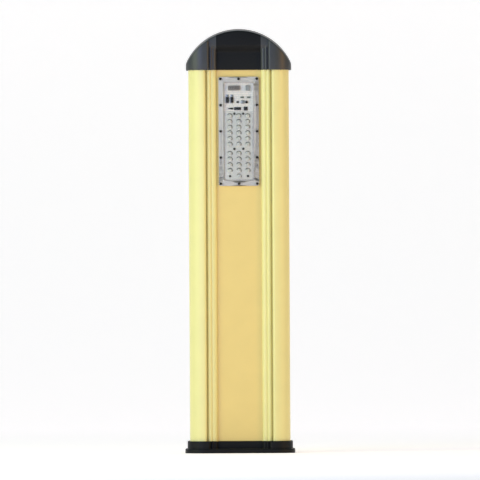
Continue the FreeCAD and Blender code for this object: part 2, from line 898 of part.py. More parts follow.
def make_cap():
    """Domed cap with a skirt over the column's top, held by four countersunk screws in its sides."""
    outer = common(
        "cap_outer",
        pad("cap_outline", "XY_Plane", [shoe_outline()], CAP_BOTTOM, SHELL_TOP),
        dome("cap_dome", "0"),
    )
    inner = common(
        "cap_inner",
        pad(
            "cap_cavity",
            "XY_Plane",
            [body_outline("shoe_clearance")],
            f"{CAP_BOTTOM} - overcut",
            SHELL_TOP,
        ),
        dome("cap_inner_dome", "cap_wall"),
    )
    shell = cut("cap_hollow", outer, [inner])
    seat = f"{PROFILE_TOP} + top_plate_thickness + cap_gasket_thickness"
    ribs = [
        block(
            f"cap_rib_{n}",
            (left, f"{left} + cap_rib_thickness"),
            ("-cap_rib_half_length", "cap_rib_half_length"),
            (seat, SHELL_TOP),
        )
        for n, left in enumerate(("cap_rib_x", "-cap_rib_x - cap_rib_thickness"))
    ]
    rib_pair = common("cap_ribs", group("cap_rib_pair", ribs), dome("cap_rib_dome", "cap_wall / 2"))
    holes, screws, nuts = [], [], []
    for side, out in ((-1, "-x"), (1, "+x")):
        for y in ("-cap_screw_y", "cap_screw_y"):
            tag = len(screws)
            face = (f"{side} * (body_width / 2 + shoe_gap)", y, "cap_screw_z")
            inward = OPPOSITE[out]
            holes.append(rod(f"cap_hole_{tag}", "cap_screw_hole", "3 * shoe_gap", face, inward))
            holes.append(
                taper(
                    f"cap_sink_{tag}",
                    "cap_screw_head + fit_gap",
                    "cap_screw_hole",
                    "cap_screw_head_height",
                    face,
                    inward,
                )
            )
            head = taper(
                f"cap_screw_head_{tag}",
                "cap_screw_head",
                "cap_screw_shank",
                "cap_screw_head_height",
                face,
                inward,
            )
            stem = rod(
                f"cap_screw_stem_{tag}", "cap_screw_shank", "shoe_gap + rivet_nut_length", face, inward
            )
            key = hexagon(
                f"cap_screw_key_{tag}", "cap_screw_shank", "cap_screw_head_height", face, inward
            )
            screws.append(
                cut(f"cap_screw_{tag}", joined(f"cap_screw_blank_{tag}", [head, stem]), [key])
            )
            wall_face = (f"{side} * body_width / 2", y, "cap_screw_z")
            barrel = rod(
                f"rivet_barrel_{tag}",
                "rivet_nut_radius - fit_gap / 2",
                "rivet_nut_length",
                wall_face,
                inward,
            )
            bore = rod(f"rivet_bore_{tag}", "cap_screw_hole", "2 * rivet_nut_length", wall_face, inward)
            nuts.append(cut(f"rivet_nut_{tag}", barrel, [bore]))
    keep("cap_shell", cut("cap_shell", joined("cap_blank", [shell, rib_pair, make_hoods()]), holes))
    keep("cap_screws", group("cap_screws", screws))
    keep("cap_rivet_nuts", group("cap_rivet_nuts", nuts))


def cross_outline(inset):
    """Outline of the cap plate: two broad ends joined by a neck between the channels."""
    end_x = f"top_plate_half_width - {inset}"
    end_y = f"top_plate_half_depth - {inset}"
    neck_x = f"top_plate_neck_x + {inset}"
    neck_y = f"top_plate_neck_y - {inset}"
    return four_quarters(
        [
            (neck_x, minus(neck_y)),
            (neck_x, minus(end_y)),
            (f"{end_x} - edge_round", minus(end_y)),
            (end_x, f"{minus(end_y)} + edge_round", "edge_round"),
        ]
    )


def make_cap_plate():
    """Steel plate that ties the tops of the profiles, its screws and the seal under the cap."""
    top = f"{PROFILE_TOP} + top_plate_thickness"
    holes = [(x, y, "port_screw_hole") for x, y in corners("port_x", "port_y")]
    plate = pad("cap_plate", "XY_Plane", [cross_outline("0")], PROFILE_TOP, top, holes)
    keep("cap_plate", plate)
    seal = pad(
        "cap_gasket",
        "XY_Plane",
        [cross_outline("cap_gasket_inset"), cross_outline("cap_gasket_width")],
        top,
        f"{top} + cap_gasket_thickness",
    )
    recesses = [
        rod(f"cap_gasket_hole_{n}", "port_screw_head + fit_gap", "through_cut", (x, y, PROFILE_TOP))
        for n, (x, y) in enumerate(corners("port_x", "port_y"))
    ]
    keep("cap_gasket", cut("cap_gasket_ring", seal, recesses))
    screws = [
        screw(
            f"cap_plate_screw_{n}",
            (x, y, top),
            "+z",
            "port_screw_head",
            "port_screw_head_height",
            "port_screw_shank",
            "port_screw_length",
        )
        for n, (x, y) in enumerate(corners("port_x", "port_y"))
    ]
    keep("cap_plate_screws", group("cap_plate_screws", screws))


# ---------------------------------------------------------------- LED module


PANEL_FACE = minus(FRONT_FLOOR)
FLANGE_FACE = f"{PANEL_FACE} - module_flange"
SEAL_FACE = f"{FLANGE_FACE} - module_gasket"
WINDOW_FACE = f"{SEAL_FACE} - window_thickness"
BOARD_BACK = f"{PANEL_FACE} + tray_depth - pocket_floor"
BOARD_FACE = f"{BOARD_BACK} - board_thickness"
LENS_BACK = f"{BOARD_FACE} - lens_plate_gap"
LENS_FACE = f"{LENS_BACK} - lens_plate_thickness"


def centred(width, height, corner):
    """A rounded rectangle about the module's centre, in X and Z."""
    return rectangle(
        f"-{width} / 2",
        f"{width} / 2",
        f"(module_centre - {height} / 2)",
        f"(module_centre + {height} / 2)",
        corner,
    )


def module_screw_points():
    """Twelve screws round the window: five up each side, and one more at top and bottom."""
    points = [
        (f"{side} * module_screw_x", f"module_centre + {step} * module_screw_pitch")
        for side in (-1, 1)
        for step in (-2, -1, 0, 1, 2)
    ]
    ends = [("0", f"module_centre + {side} * module_screw_z") for side in (-1, 1)]
    return points + ends


def lens_points():
    """Centres of the lenses: six rows above the middle screws and five below.

    The last row has only its middle lens.
    """
    upper = [
        (f"{column} * lens_column_pitch", f"upper_rows_top - {row} * lens_row_pitch")
        for row in range(UPPER_ROWS)
        for column in LENS_COLUMNS
    ]
    lower = [
        (f"{column} * lens_column_pitch", f"lower_rows_top - {row} * lens_row_pitch")
        for row in range(LOWER_ROWS)
        for column in LENS_COLUMNS
        if row < LOWER_ROWS - 1 or column == 0
    ]
    return upper + lower


def lens_screw_points():
    """Two screws above the lenses, two in the gap between the groups and two in the last row."""
    last_row = f"lower_rows_top - {LOWER_ROWS - 1} * lens_row_pitch"
    return [
        (f"{side} * {x}", z)
        for x, z in (
            ("lens_screw_x", "lens_screw_top"),
            ("lens_screw_x", "lens_screw_middle"),
            ("lens_column_pitch", last_row),
        )
        for side in (-1, 1)
    ]


def make_module_housing():
    """Die-cast tray with a flange on the panel, cooling fins behind and a pocket for the board."""
    flange = pad(
        "housing_flange",
        "XZ_Plane",
        [centred("module_width", "module_height", "module_corner")],
        FLANGE_FACE,
        PANEL_FACE,
    )
    tray = pad(
        "housing_tray",
        "XZ_Plane",
        [centred("tray_width", "tray_height", "pocket_corner")],
        PANEL_FACE,
        f"{PANEL_FACE} + tray_depth",
    )
    fins = []
    for step in range(-int(SIZES["fin_count_half"]), int(SIZES["fin_count_half"]) + 1):
        middle = f"{step} * fin_pitch"
        fins.append(
            block(
                f"housing_fin_{step + 5}",
                (f"{middle} - fin_thickness / 2", f"{middle} + fin_thickness / 2"),
                (f"{PANEL_FACE} + tray_depth - overcut", f"{PANEL_FACE} + tray_depth + fin_reach"),
                ("fin_bottom", "fin_top"),
            )
        )
    pocket = pad(
        "housing_pocket",
        "XZ_Plane",
        [centred("pocket_width", "pocket_height", "pocket_corner")],
        f"{FLANGE_FACE} - overcut",
        BOARD_BACK,
    )
    holes = [
        rod(
            f"housing_hole_{n}",
            "module_screw_hole",
            "through_cut",
            (x, f"{FLANGE_FACE} - overcut", z),
            "+y",
        )
        for n, (x, z) in enumerate(module_screw_points())
    ]
    holes += [
        rod(
            f"housing_tap_{n}",
            "lens_screw_hole - lens_thread_depth",
            "pocket_floor",
            (x, f"{BOARD_BACK} - overcut", z),
            "+y",
        )
        for n, (x, z) in enumerate(lens_screw_points())
    ]
    gland_hole = rod(
        "housing_gland_hole",
        "cable_radius + cable_gap",
        "through_cut",
        ("0", f"{BOARD_BACK} - overcut", "gland_z"),
        "+y",
    )
    blank = joined("housing_blank", [flange, tray] + fins)
    keep("module_housing", cut("module_housing", blank, [pocket, gland_hole] + holes))


def make_module_front():
    """Seal, clear window with its raised bubble, and the twelve screws."""
    holes = [(x, z, "module_screw_hole") for x, z in module_screw_points()]
    seal = pad(
        "module_gasket",
        "XZ_Plane",
        [
            centred("module_width", "module_height", "module_corner"),
            centred("pocket_width", "pocket_height", "pocket_corner"),
        ],
        SEAL_FACE,
        FLANGE_FACE,
        holes,
    )
    keep("module_gasket", seal)
    frame = pad(
        "window_frame",
        "XZ_Plane",
        [centred("module_width", "module_height", "module_corner")],
        WINDOW_FACE,
        SEAL_FACE,
        holes,
    )
    bubble = pad(
        "window_bubble",
        "XZ_Plane",
        [centred("bubble_width", "bubble_height", "bubble_corner")],
        f"{WINDOW_FACE} - bubble_rise",
        f"{WINDOW_FACE} + overcut",
    )
    space = pad(
        "window_space",
        "XZ_Plane",
        [
            centred(
                "(bubble_width - 2 * bubble_wall)",
                "(bubble_height - 2 * bubble_wall)",
                "(bubble_corner - bubble_wall)",
            )
        ],
        f"{WINDOW_FACE} - bubble_rise + bubble_wall",
        f"{SEAL_FACE} + overcut",
    )
    keep("module_window", cut("module_window", joined("window_blank", [frame, bubble]), [space]))
    screws = [
        screw(
            f"module_screw_{n}",
            (x, WINDOW_FACE, z),
            "-y",
            "module_screw_head",
            "module_screw_head_height",
            "module_screw_shank",
            "module_screw_length",
        )
        for n, (x, z) in enumerate(module_screw_points())
    ]
    keep("module_screws", group("module_screws", screws))


def make_clamp_frame():
    """Steel frame behind the front panel that takes the module's screws."""
    holes = [(x, z, "module_screw_hole") for x, z in module_screw_points()]
    frame = pad(
        "module_clamp_frame",
        "XZ_Plane",
        [
            centred("clamp_frame_width", "clamp_frame_height", "pocket_corner"),
            centred("(tray_width + 2 * cutout_gap)", "(tray_height + 2 * cutout_gap)", "pocket_corner"),
        ],
        f"{PANEL_FACE} + panel_thickness",
        f"{PANEL_FACE} + panel_thickness + clamp_frame_thickness",
        holes,
    )
    keep("module_clamp_frame", frame)


def make_led_board():
    """White board, its LED chips, the lens plate over them and the lens plate's screws."""
    board = pad(
        "led_board",
        "XZ_Plane",
        [centred("board_width", "board_height", "lens_plate_corner")],
        BOARD_FACE,
        BOARD_BACK,
        [(x, z, "lens_screw_hole") for x, z in lens_screw_points()],
    )
    keep("led_board", board)
    chips = [
        block(
            f"led_chip_{n}",
            (f"{x} - chip_size / 2", f"{x} + chip_size / 2"),
            (f"{BOARD_FACE} - chip_height", BOARD_FACE),
            (f"{z} - chip_size / 2", f"{z} + chip_size / 2"),
        )
        for n, (x, z) in enumerate(lens_points())
    ]
    keep("led_chips", group("led_chips", chips))
    sheet_part = pad(
        "lens_sheet",
        "XZ_Plane",
        [
            rectangle(
                "-lens_plate_width / 2",
                "lens_plate_width / 2",
                "lens_plate_bottom",
                "lens_plate_top",
                "lens_plate_corner",
            )
        ],
        LENS_FACE,
        LENS_BACK,
        [(x, z, "lens_screw_hole") for x, z in lens_screw_points()],
    )
    lenses = []
    for n, (x, z) in enumerate(lens_points()):
        lenses.append(
            rod(
                f"lens_base_{n}",
                "lens_radius",
                "lens_shoulder + overcut",
                (x, f"{LENS_FACE} + overcut", z),
                "-y",
            )
        )
        lenses.append(
            taper(
                f"lens_top_{n}",
                "lens_radius",
                "lens_top_radius",
                "lens_height - lens_shoulder",
                (x, f"{LENS_FACE} - lens_shoulder", z),
                "-y",
            )
        )
    keep("lens_plate", joined("lens_plate", [sheet_part] + lenses))
    screws = [
        screw(
            f"lens_screw_{n}",
            (x, LENS_FACE, z),
            "-y",
            "lens_screw_head",
            "lens_screw_head_height",
            "lens_screw_shank",
            "lens_screw_length",
        )
        for n, (x, z) in enumerate(lens_screw_points())
    ]
    keep("lens_screws", group("lens_screws", screws))


def on_board(name, x, z, width, height, depth):
    """A block that stands on the LED board, centred on x and z."""
    return block(
        name,
        (f"{x} - {width} / 2", f"{x} + {width} / 2"),
        (f"{BOARD_FACE} - {depth}", BOARD_FACE),
        (f"{z} - {height} / 2", f"{z} + {height} / 2"),
    )


def make_board_components():
    """Mains driver on the upper end of the board."""
    transistors = []
    for n, x in enumerate(("transistor_left", "transistor_right")):
        case = on_board(
            f"transistor_case_{n}",
            x,
            "transistor_z",
            "transistor_width",
            "transistor_height",
            "transistor_depth",
        )
        tab_z = "(transistor_z + transistor_height / 2 + tab_height / 2 - 0.2)"
        tab = on_board(
            f"transistor_tab_{n}", x, tab_z, "transistor_width", "tab_height", "tab_depth"
        )
        transistors.append(joined(f"transistor_{n}", [case, tab]))
    keep("driver_transistors", group("driver_transistors", transistors))
    chips = [
        on_board(
            "rectifier", "rectifier_x", "rectifier_z", "rectifier_width", "rectifier_height", "chip_depth"
        ),
        on_board("driver_ic", "driver_x", "chip_row_z", "driver_width", "driver_height", "chip_depth"),
        on_board(
            "control_ic",
            "controller_x",
            "chip_row_z",
            "controller_width",
            "controller_height",
            "chip_depth",
        ),
        on_board(
            "regulator_ic",
            "regulator_x",
            "chip_row_z",
            "regulator_width",
            "regulator_width",
            "chip_depth",
        ),
    ]
    keep("driver_chips", group("driver_chips", chips))
    wound = [
        rod("choke_can", "coil_radius", "coil_height", ("coil_x", BOARD_FACE, "coil_z"), "-y"),
        rod(
            "capacitor_can",
            "capacitor_radius",
            "capacitor_height",
            ("capacitor_x", BOARD_FACE, "coil_z"),
            "-y",
        ),
    ]
    keep("driver_coil_and_capacitor", group("driver_coil_and_capacitor", wound))
    discs = [
        on_board(f"varistor_{n}", x, "varistor_z", "varistor_width", "varistor_height", "coil_height")
        for n, x in enumerate(("varistor_left_x", "varistor_right_x"))
    ]
    keep("driver_varistors", group("driver_varistors", discs))
    connector = on_board(
        "connector_case",
        "(connector_left / 2 + connector_right / 2)",
        "connector_z",
        "(connector_right - connector_left)",
        "connector_height",
        "connector_depth",
    )
    keep("board_connector", connector)
    fuse = on_board("board_fuse", "fuse_x", "connector_z", "fuse_width", "fuse_height", "fuse_depth")
    keep("board_fuse", fuse)


def make_module_gland():
    """Cable gland on the back of the housing."""
    start = f"{PANEL_FACE} + tray_depth"
    body = rod("gland_body", "gland_radius", "gland_length", ("0", start, "gland_z"), "+y")
    nut = hexagon(
        "gland_nut",
        "gland_nut_radius",
        "gland_nut_length",
        ("0", f"{start} + gland_length", "gland_z"),
        "+y",
    )
    bore = rod(
        "gland_bore",
        "cable_radius + cable_gap",
        "2 * through_cut",
        ("0", f"{start} - through_cut", "gland_z"),
        "+y",
    )
    keep("module_gland", cut("module_gland", joined("gland_blank", [body, nut]), [bore]))


# ---------------------------------------------------------------- panels and service door


def make_panels():
    """Front panel with the module's cut-out, and the fixed rear panels above and below the door."""
    half = "panel_width / 2"
    front = pad(
        "front_panel",
        "XZ_Plane",
        [
            rectangle(minus(half), half, "profile_bottom", f"({PROFILE_TOP})"),
            centred("(tray_width + 2 * cutout_gap)", "(tray_height + 2 * cutout_gap)", "pocket_corner"),
        ],
        PANEL_FACE,
        f"{PANEL_FACE} + panel_thickness",
        [(x, z, "module_screw_hole") for x, z in module_screw_points()],
    )
    keep("front_panel", front)
    outer = f"{FRONT_FLOOR}"
    spans = {
        "rear_panel_lower": ("profile_bottom", "door_bottom - door_gap"),
        "rear_panel_upper": ("door_top + door_gap", PROFILE_TOP),
    }
    for label, (low, high) in spans.items():
        keep(
            label,
            block(label, (minus(half), half), (f"{outer} - panel_thickness", outer), (low, high)),
        )


def make_door():
    """Service door in the rear channel, its seal and the bars that close its frame."""
    outer_face = "door_inner_face + door_sheet"
    leaf = pad(
        "door_leaf",
        "XZ_Plane",
        [rectangle("door_left", "door_right", "door_bottom", "door_top")],
        "door_inner_face",
        outer_face,
        [("lock_x", "lock_z", "lock_barrel_hole")],
    )
    ribs = [
        block(
            f"door_rib_{n}",
            (f"{x} - door_rib_thickness / 2", f"{x} + door_rib_thickness / 2"),
            ("door_inner_face - door_rib_depth", "door_inner_face + door_sheet / 2"),
            ("door_bottom + door_rib_end", "door_top - door_rib_end"),
        )
        for n, x in enumerate(("-door_rib_x", "door_rib_x"))
    ]
    keep("service_door", joined("service_door", [leaf] + ribs))
    lip_face = f"{FRONT_FLOOR} - panel_thickness - fit_gap"
    left, right = "(door_left + seal_inset)", "(door_right - seal_inset)"
    low, high = "(door_bottom + seal_inset)", "(door_top - seal_inset)"
    seal = pad(
        "door_seal",
        "XZ_Plane",
        [
            rectangle(left, right, low, high),
            rectangle(
                f"{left} + seal_width",
                f"{right} - seal_width",
                f"{low} + 2 * seal_width",
                f"{high} - 2 * seal_width",
            ),
        ],
        lip_face,
        f"{lip_face} + seal_depth",
    )
    keep("door_seal", seal)
    bars = []
    for n, z in enumerate(("door_bottom", "door_top")):
        bars.append(
            block(
                f"frame_bar_{n}",
                ("-frame_bar_half_width", "frame_bar_half_width"),
                (f"{lip_face} - wall", lip_face),
                (f"{z} - frame_bar_overlap", f"{z} + frame_bar_overlap"),
            )
        )
    keep("door_frame_bars", group("door_frame_bars", bars))


def knuckle(name, low, face):
    """A hinge knuckle with a leaf that is welded to a face, from one height up."""
    at = ("hinge_x", "hinge_y", low)
    barrel = rod(f"{name}_barrel", "knuckle_radius", "knuckle_length", at)
    leaf = block(
        f"{name}_leaf",
        ("hinge_x", "hinge_x + knuckle_leaf_width"),
        (face, f"{face} + knuckle_leaf_thickness"),
        (low, f"{low} + knuckle_length"),
    )
    web = block(
        f"{name}_web",
        ("hinge_x - knuckle_leaf_thickness / 2", "hinge_x + knuckle_radius * 0.8"),
        (face, "hinge_y"),
        (low, f"{low} + knuckle_length"),
    )
    bore_at = ("hinge_x", "hinge_y", f"{low} - overcut")
    bore = rod(f"{name}_bore", "pin_hole_radius", "knuckle_length + 2 * overcut", bore_at)
    return cut(name, joined(f"{name}_blank", [barrel, leaf, web]), [bore])


def make_hinges():
    """Two lift-off hinges: a fixed knuckle, a knuckle on the door and a pin through each pair."""
    half_gap = "knuckle_gap / 2"
    lower_split = "(door_bottom - door_gap / 2)"
    upper_split = "(door_top + door_gap / 2)"
    fixed = [
        knuckle("fixed_knuckle_low", f"{lower_split} - {half_gap} - knuckle_length", FRONT_FLOOR),
        knuckle("fixed_knuckle_high", f"{upper_split} + {half_gap}", FRONT_FLOOR),
    ]
    keep("hinge_knuckles_fixed", group("hinge_knuckles_fixed", fixed))
    door_face = "door_inner_face + door_sheet"
    moving = [
        knuckle("door_knuckle_low", f"{lower_split} + {half_gap}", door_face),
        knuckle("door_knuckle_high", f"{upper_split} - {half_gap} - knuckle_length", door_face),
    ]
    keep("hinge_knuckles_door", group("hinge_knuckles_door", moving))
    length = "2 * knuckle_length + knuckle_gap - 2 * pin_end_gap"
    pins = [
        rod(
            f"hinge_pin_{n}",
            "pin_radius",
            length,
            ("hinge_x", "hinge_y", f"{split} - ({length}) / 2"),
        )
        for n, split in enumerate((lower_split, upper_split))
    ]
    keep("hinge_pins", group("hinge_pins", pins))


def make_lock():
    """Quarter-turn lock: barrel and nut on the door, spindle and cam that turn together."""
    door_face = "door_inner_face + door_sheet"
    front = f"{door_face} + lock_flange_thickness"
    flange = rod(
        "lock_flange",
        "lock_flange_radius",
        "lock_flange_thickness",
        ("lock_x", door_face, "lock_z"),
        "+y",
    )
    barrel = rod(
        "lock_tube",
        "lock_barrel_radius",
        f"{door_face} - lock_barrel_end + fit_gap",
        ("lock_x", "lock_barrel_end", "lock_z"),
        "+y",
    )
    lock_start = ("lock_x", "lock_barrel_end - overcut", "lock_z")
    bore = rod("lock_bore_cut", "lock_bore", "through_cut", lock_start, "+y")
    keep("lock_barrel", cut("lock_barrel", joined("lock_blank", [flange, barrel]), [bore]))
    nut_face = "door_inner_face - lock_nut_thickness"
    nut = hexagon(
        "lock_nut_blank", "lock_nut_radius", "lock_nut_thickness", ("lock_x", nut_face, "lock_z"), "+y"
    )
    nut_bore = rod(
        "lock_nut_bore",
        "lock_barrel_hole",
        "3 * lock_nut_thickness",
        ("lock_x", f"{nut_face} - overcut", "lock_z"),
        "+y",
    )
    keep("lock_nut", cut("lock_nut", nut, [nut_bore]))
    cam_front = "cam_back + cam_thickness"
    core = rod(
        "spindle_core",
        "spindle_radius",
        f"{front} - spindle_recess - ({cam_front})",
        ("lock_x", cam_front, "lock_z"),
        "+y",
    )
    key_triangle = doc.addObject("Part::Prism", "spindle_key")
    key_triangle.Polygon = 3
    key_start = ("lock_x", f"{front} - spindle_recess - spindle_key_depth", "lock_z")
    key_length = "spindle_key_depth + spindle_recess + overcut"
    bind(key_triangle, Circumradius="spindle_key_radius", Height=key_length)
    place(key_triangle, key_start, "+y")
    moat = rod(
        "spindle_moat",
        "spindle_key_radius + spindle_moat_width",
        key_length,
        key_start,
        "+y",
    )
    key_space = cut("spindle_key_space", moat, [key_triangle])
    keep("lock_spindle", cut("lock_spindle", core, [key_space]))
    cam = pad(
        "cam_blank",
        "XZ_Plane",
        [
            rectangle(
                "(lock_x - cam_width / 2)",
                "(lock_x + cam_width / 2)",
                "(lock_z - cam_tail)",
                "(lock_z + cam_reach)",
                "lens_plate_corner",
            )
        ],
        "cam_back",
        cam_front,
    )
    bolt = hexagon(
        "cam_bolt",
        "cam_screw_radius",
        "cam_screw_height",
        ("lock_x", "cam_back - cam_screw_height", "lock_z"),
        "+y",
    )
    keep("lock_cam", joined("lock_cam", [cam, bolt]))


# ---------------------------------------------------------------- equipment


PLATE_FACE = "plate_back + plate_thickness"
RAIL_FACE = f"{PLATE_FACE} + rail_depth + device_gap"


def make_equipment_plate():
    """Galvanised plate on two cross bars that also tie the side profiles together."""
    bars, bar_screws, plate_screws = [], [], []
    for n, z in enumerate(("lower_bar_z", "upper_bar_z")):
        span = (f"{z} - bar_height / 2", f"{z} + bar_height / 2")
        beam = block(
            f"bar_beam_{n}",
            ("-bar_half_length", "bar_half_length"),
            ("plate_back - bar_thickness", "plate_back"),
            span,
        )
        tabs = [
            block(
                f"bar_tab_{n}_left",
                ("-bar_half_length", "bar_tab_thickness - bar_half_length"),
                ("plate_back - bar_thickness", "plate_back + bar_tab_depth"),
                span,
            ),
            block(
                f"bar_tab_{n}_right",
                ("bar_half_length - bar_tab_thickness", "bar_half_length"),
                ("plate_back - bar_thickness", "plate_back + bar_tab_depth"),
                span,
            ),
        ]
        holes = [
            rod(
                f"bar_hole_{n}",
                "bar_screw_hole",
                "2 * bar_half_length + 2 * overcut",
                ("-bar_half_length - overcut", "bar_screw_y", z),
                "+x",
            )
        ]
        holes += [
            rod(
                f"bar_plate_hole_{n}_{m}",
                "bar_screw_hole",
                "3 * bar_thickness",
                (x, "plate_back - 2 * bar_thickness", z),
                "+y",
            )
            for m, x in enumerate(("-plate_screw_x", "plate_screw_x"))
        ]
        bars.append(cut(f"cross_bar_{n}", joined(f"bar_blank_{n}", [beam] + tabs), holes))
        for side, sign, out in (("left", -1, "+x"), ("right", 1, "-x")):
            seat = (f"{sign} * (bar_half_length - bar_tab_thickness)", "bar_screw_y", z)
            bar_screws.append(
                screw(
                    f"bar_screw_{n}_{side}",
                    seat,
                    out,
                    "bar_screw_head",
                    "bar_screw_head_height",
                    "bar_screw_shank",
                    "bar_screw_length",
                )
            )
        for m, x in enumerate(("-plate_screw_x", "plate_screw_x")):
            plate_screws.append(
                screw(
                    f"plate_screw_{n}_{m}",
                    (x, PLATE_FACE, z),
                    "+y",
                    "bar_screw_head",
                    "bar_screw_head_height",
                    "bar_screw_shank",
                    "bar_screw_length",
                )
            )
    keep("cross_bar_lower", bars[0])
    keep("cross_bar_upper", bars[1])
    keep("cross_bar_screws", group("cross_bar_screws", bar_screws))
    keep("equipment_plate_screws", group("equipment_plate_screws", plate_screws))
    points = [
        (x, z) for x in ("-plate_screw_x", "plate_screw_x") for z in ("lower_bar_z", "upper_bar_z")
    ]
    plate = pad(
        "equipment_plate",
        "XZ_Plane",
        [rectangle("-plate_half_width", "plate_half_width", "plate_bottom", "plate_top")],
        "plate_back",
        PLATE_FACE,
        [(x, z, "bar_screw_hole") for x, z in points]
        + [("earth_x", "earth_z", "earth_stud_radius + fit_gap")],
    )
    keep("equipment_plate", plate)


def make_rail():
    """Top-hat rail across the equipment plate."""
    back = PLATE_FACE
    front = f"{PLATE_FACE} + rail_depth"
    flange_back = f"{front} - rail_sheet"
    inner = "rail_base - rail_sheet"
    half = [
        (back, "rail_z - rail_base"),
        (flange_back, "rail_z - rail_base"),
        (flange_back, "rail_z - rail_edge"),
        (front, "rail_z - rail_edge"),
        (front, f"rail_z - ({inner})"),
        (f"{back} + rail_sheet", f"rail_z - ({inner})"),
    ]
    other = [(y, z.replace("rail_z - ", "rail_z + ")) for y, z in half[::-1]]
    rail = pad("din_rail", "YZ_Plane", [half + other], "-rail_half_length", "rail_half_length")
    keep("din_rail", rail)


def device_outline():
    """Side view of a rail device: a body as deep as its terminals and a nose in its middle."""
    back = RAIL_FACE
    shoulder = f"{back} + device_body_depth"
    nose = f"{back} + device_nose_depth"
    return [
        (back, "rail_z - device_half_height"),
        (shoulder, "rail_z - device_half_height"),
        (shoulder, "rail_z - device_nose_half_height"),
        (nose, "rail_z - device_nose_half_height"),
        (nose, "rail_z + device_nose_half_height"),
        (shoulder, "rail_z + device_nose_half_height"),
        (shoulder, "rail_z + device_half_height"),
        (back, "rail_z + device_half_height"),
    ]


def make_breaker():
    """Two-pole circuit breaker and its toggle."""
    nose = f"{RAIL_FACE} + device_nose_depth"
    case = pad(
        "breaker_blank",
        "YZ_Plane",
        [device_outline()],
        "breaker_left",
        "breaker_left + breaker_width",
    )
    half_slot = "toggle_half_width + toggle_slot_gap"
    slot = block(
        "breaker_slot",
        (f"toggle_x - ({half_slot})", f"toggle_x + {half_slot}"),
        (f"{nose} - toggle_slot_depth", f"{nose} + overcut"),
        ("rail_z - toggle_slot_half_height", "rail_z + toggle_slot_half_height"),
    )
    keep("breaker_case", cut("breaker_case", case, [slot]))
    pivot_y = f"{nose} - toggle_inset"
    hub = rod(
        "toggle_hub",
        "toggle_radius",
        "2 * toggle_half_width",
        ("toggle_x - toggle_half_width", pivot_y, "rail_z"),
        "+x",
    )
    lever = doc.addObject("Part::Box", "toggle_lever")
    lever.Placement = FreeCAD.Placement(
        FreeCAD.Vector(0, 0, 0), FreeCAD.Rotation(AXES["+x"], value("toggle_angle"))
    )
    # The lever is a box turned up by toggle_angle about the hub's axis.
    bind(
        lever,
        Length="2 * toggle_half_width",
        Width="toggle_reach",
        Height="toggle_thickness",
        Base_x="toggle_x - toggle_half_width",
        Base_y=f"{pivot_y} + sin(toggle_angle) * toggle_thickness / 2",
        Base_z="rail_z - cos(toggle_angle) * toggle_thickness / 2",
    )
    keep("breaker_toggle", joined("breaker_toggle", [hub, lever]))


def make_arrester():
    """Surge arrester with its state window."""
    nose = f"{RAIL_FACE} + device_nose_depth"
    case = pad(
        "arrester_blank",
        "YZ_Plane",
        [device_outline()],
        "arrester_left",
        "arrester_left + arrester_width",
    )
    middle = "arrester_left + arrester_width / 2"
    window = block(
        "arrester_window",
        (f"{middle} - arrester_window_width / 2", f"{middle} + arrester_window_width / 2"),
        (f"{nose} - arrester_window_depth", f"{nose} + overcut"),
        ("rail_z + arrester_window_height", "rail_z + 2 * arrester_window_height"),
    )
    keep("surge_arrester", cut("surge_arrester", case, [window]))


def make_terminals():
    """A row of rail terminals with a screw well at each end."""
    back = RAIL_FACE
    shoulder = f"{back} + terminal_shoulder"
    front = f"{back} + terminal_depth"
    blocks = []
    for n in range(TERMINALS):
        left = f"terminal_left + {n} * terminal_pitch"
        outline = [
            (back, "rail_z - terminal_half_height"),
            (shoulder, "rail_z - terminal_half_height"),
            (front, "rail_z - terminal_step"),
            (front, "rail_z + terminal_step"),
            (shoulder, "rail_z + terminal_half_height"),
            (back, "rail_z + terminal_half_height"),
        ]
        case = pad(f"terminal_case_{n}", "YZ_Plane", [outline], left, f"{left} + terminal_width")
        wells = [
            rod(
                f"terminal_well_{n}_{m}",
                "terminal_screw_radius",
                "2 * terminal_screw_depth",
                (
                    f"{left} + terminal_width / 2",
                    f"{front} - terminal_screw_depth",
                    f"rail_z + {side} * terminal_step / 2",
                ),
                "+y",
            )
            for m, side in enumerate((-1, 1))
        ]
        blocks.append(cut(f"terminal_{n}", case, wells))
    keep("terminal_blocks", group("terminal_blocks", blocks))


def make_control_unit():
    """Control unit: an open box on the plate and its lid."""
    face = PLATE_FACE
    outline = rectangle(
        "-control_half_width", "control_half_width", "control_bottom", "control_top", "control_corner"
    )
    inner = rectangle(
        "(control_wall - control_half_width)",
        "(control_half_width - control_wall)",
        "(control_bottom + control_wall)",
        "(control_top - control_wall)",
        "(control_corner - control_wall)",
    )
    outer_box = pad("control_blank", "XZ_Plane", [outline], face, f"{face} + control_depth")
    space = pad(
        "control_space",
        "XZ_Plane",
        [inner],
        f"{face} + control_wall",
        f"{face} + control_depth + overcut",
    )
    keep("control_box", cut("control_box", outer_box, [space]))
    lid = pad(
        "control_cover",
        "XZ_Plane",
        [outline],
        f"{face} + control_depth",
        f"{face} + control_depth + control_lid",
    )
    dimples = [
        rod(
            f"control_dimple_{n}",
            "control_screw_radius",
            "control_lid",
            (x, f"{face} + control_depth + control_lid * 0.6", z),
            "+y",
        )
        for n, (x, z) in enumerate(
            (x, z)
            for x in (
                "control_screw_inset - control_half_width",
                "control_half_width - control_screw_inset",
            )
            for z in ("control_bottom + control_screw_inset", "control_top - control_screw_inset")
        )
    ]
    keep("control_lid", cut("control_lid_part", lid, dimples))


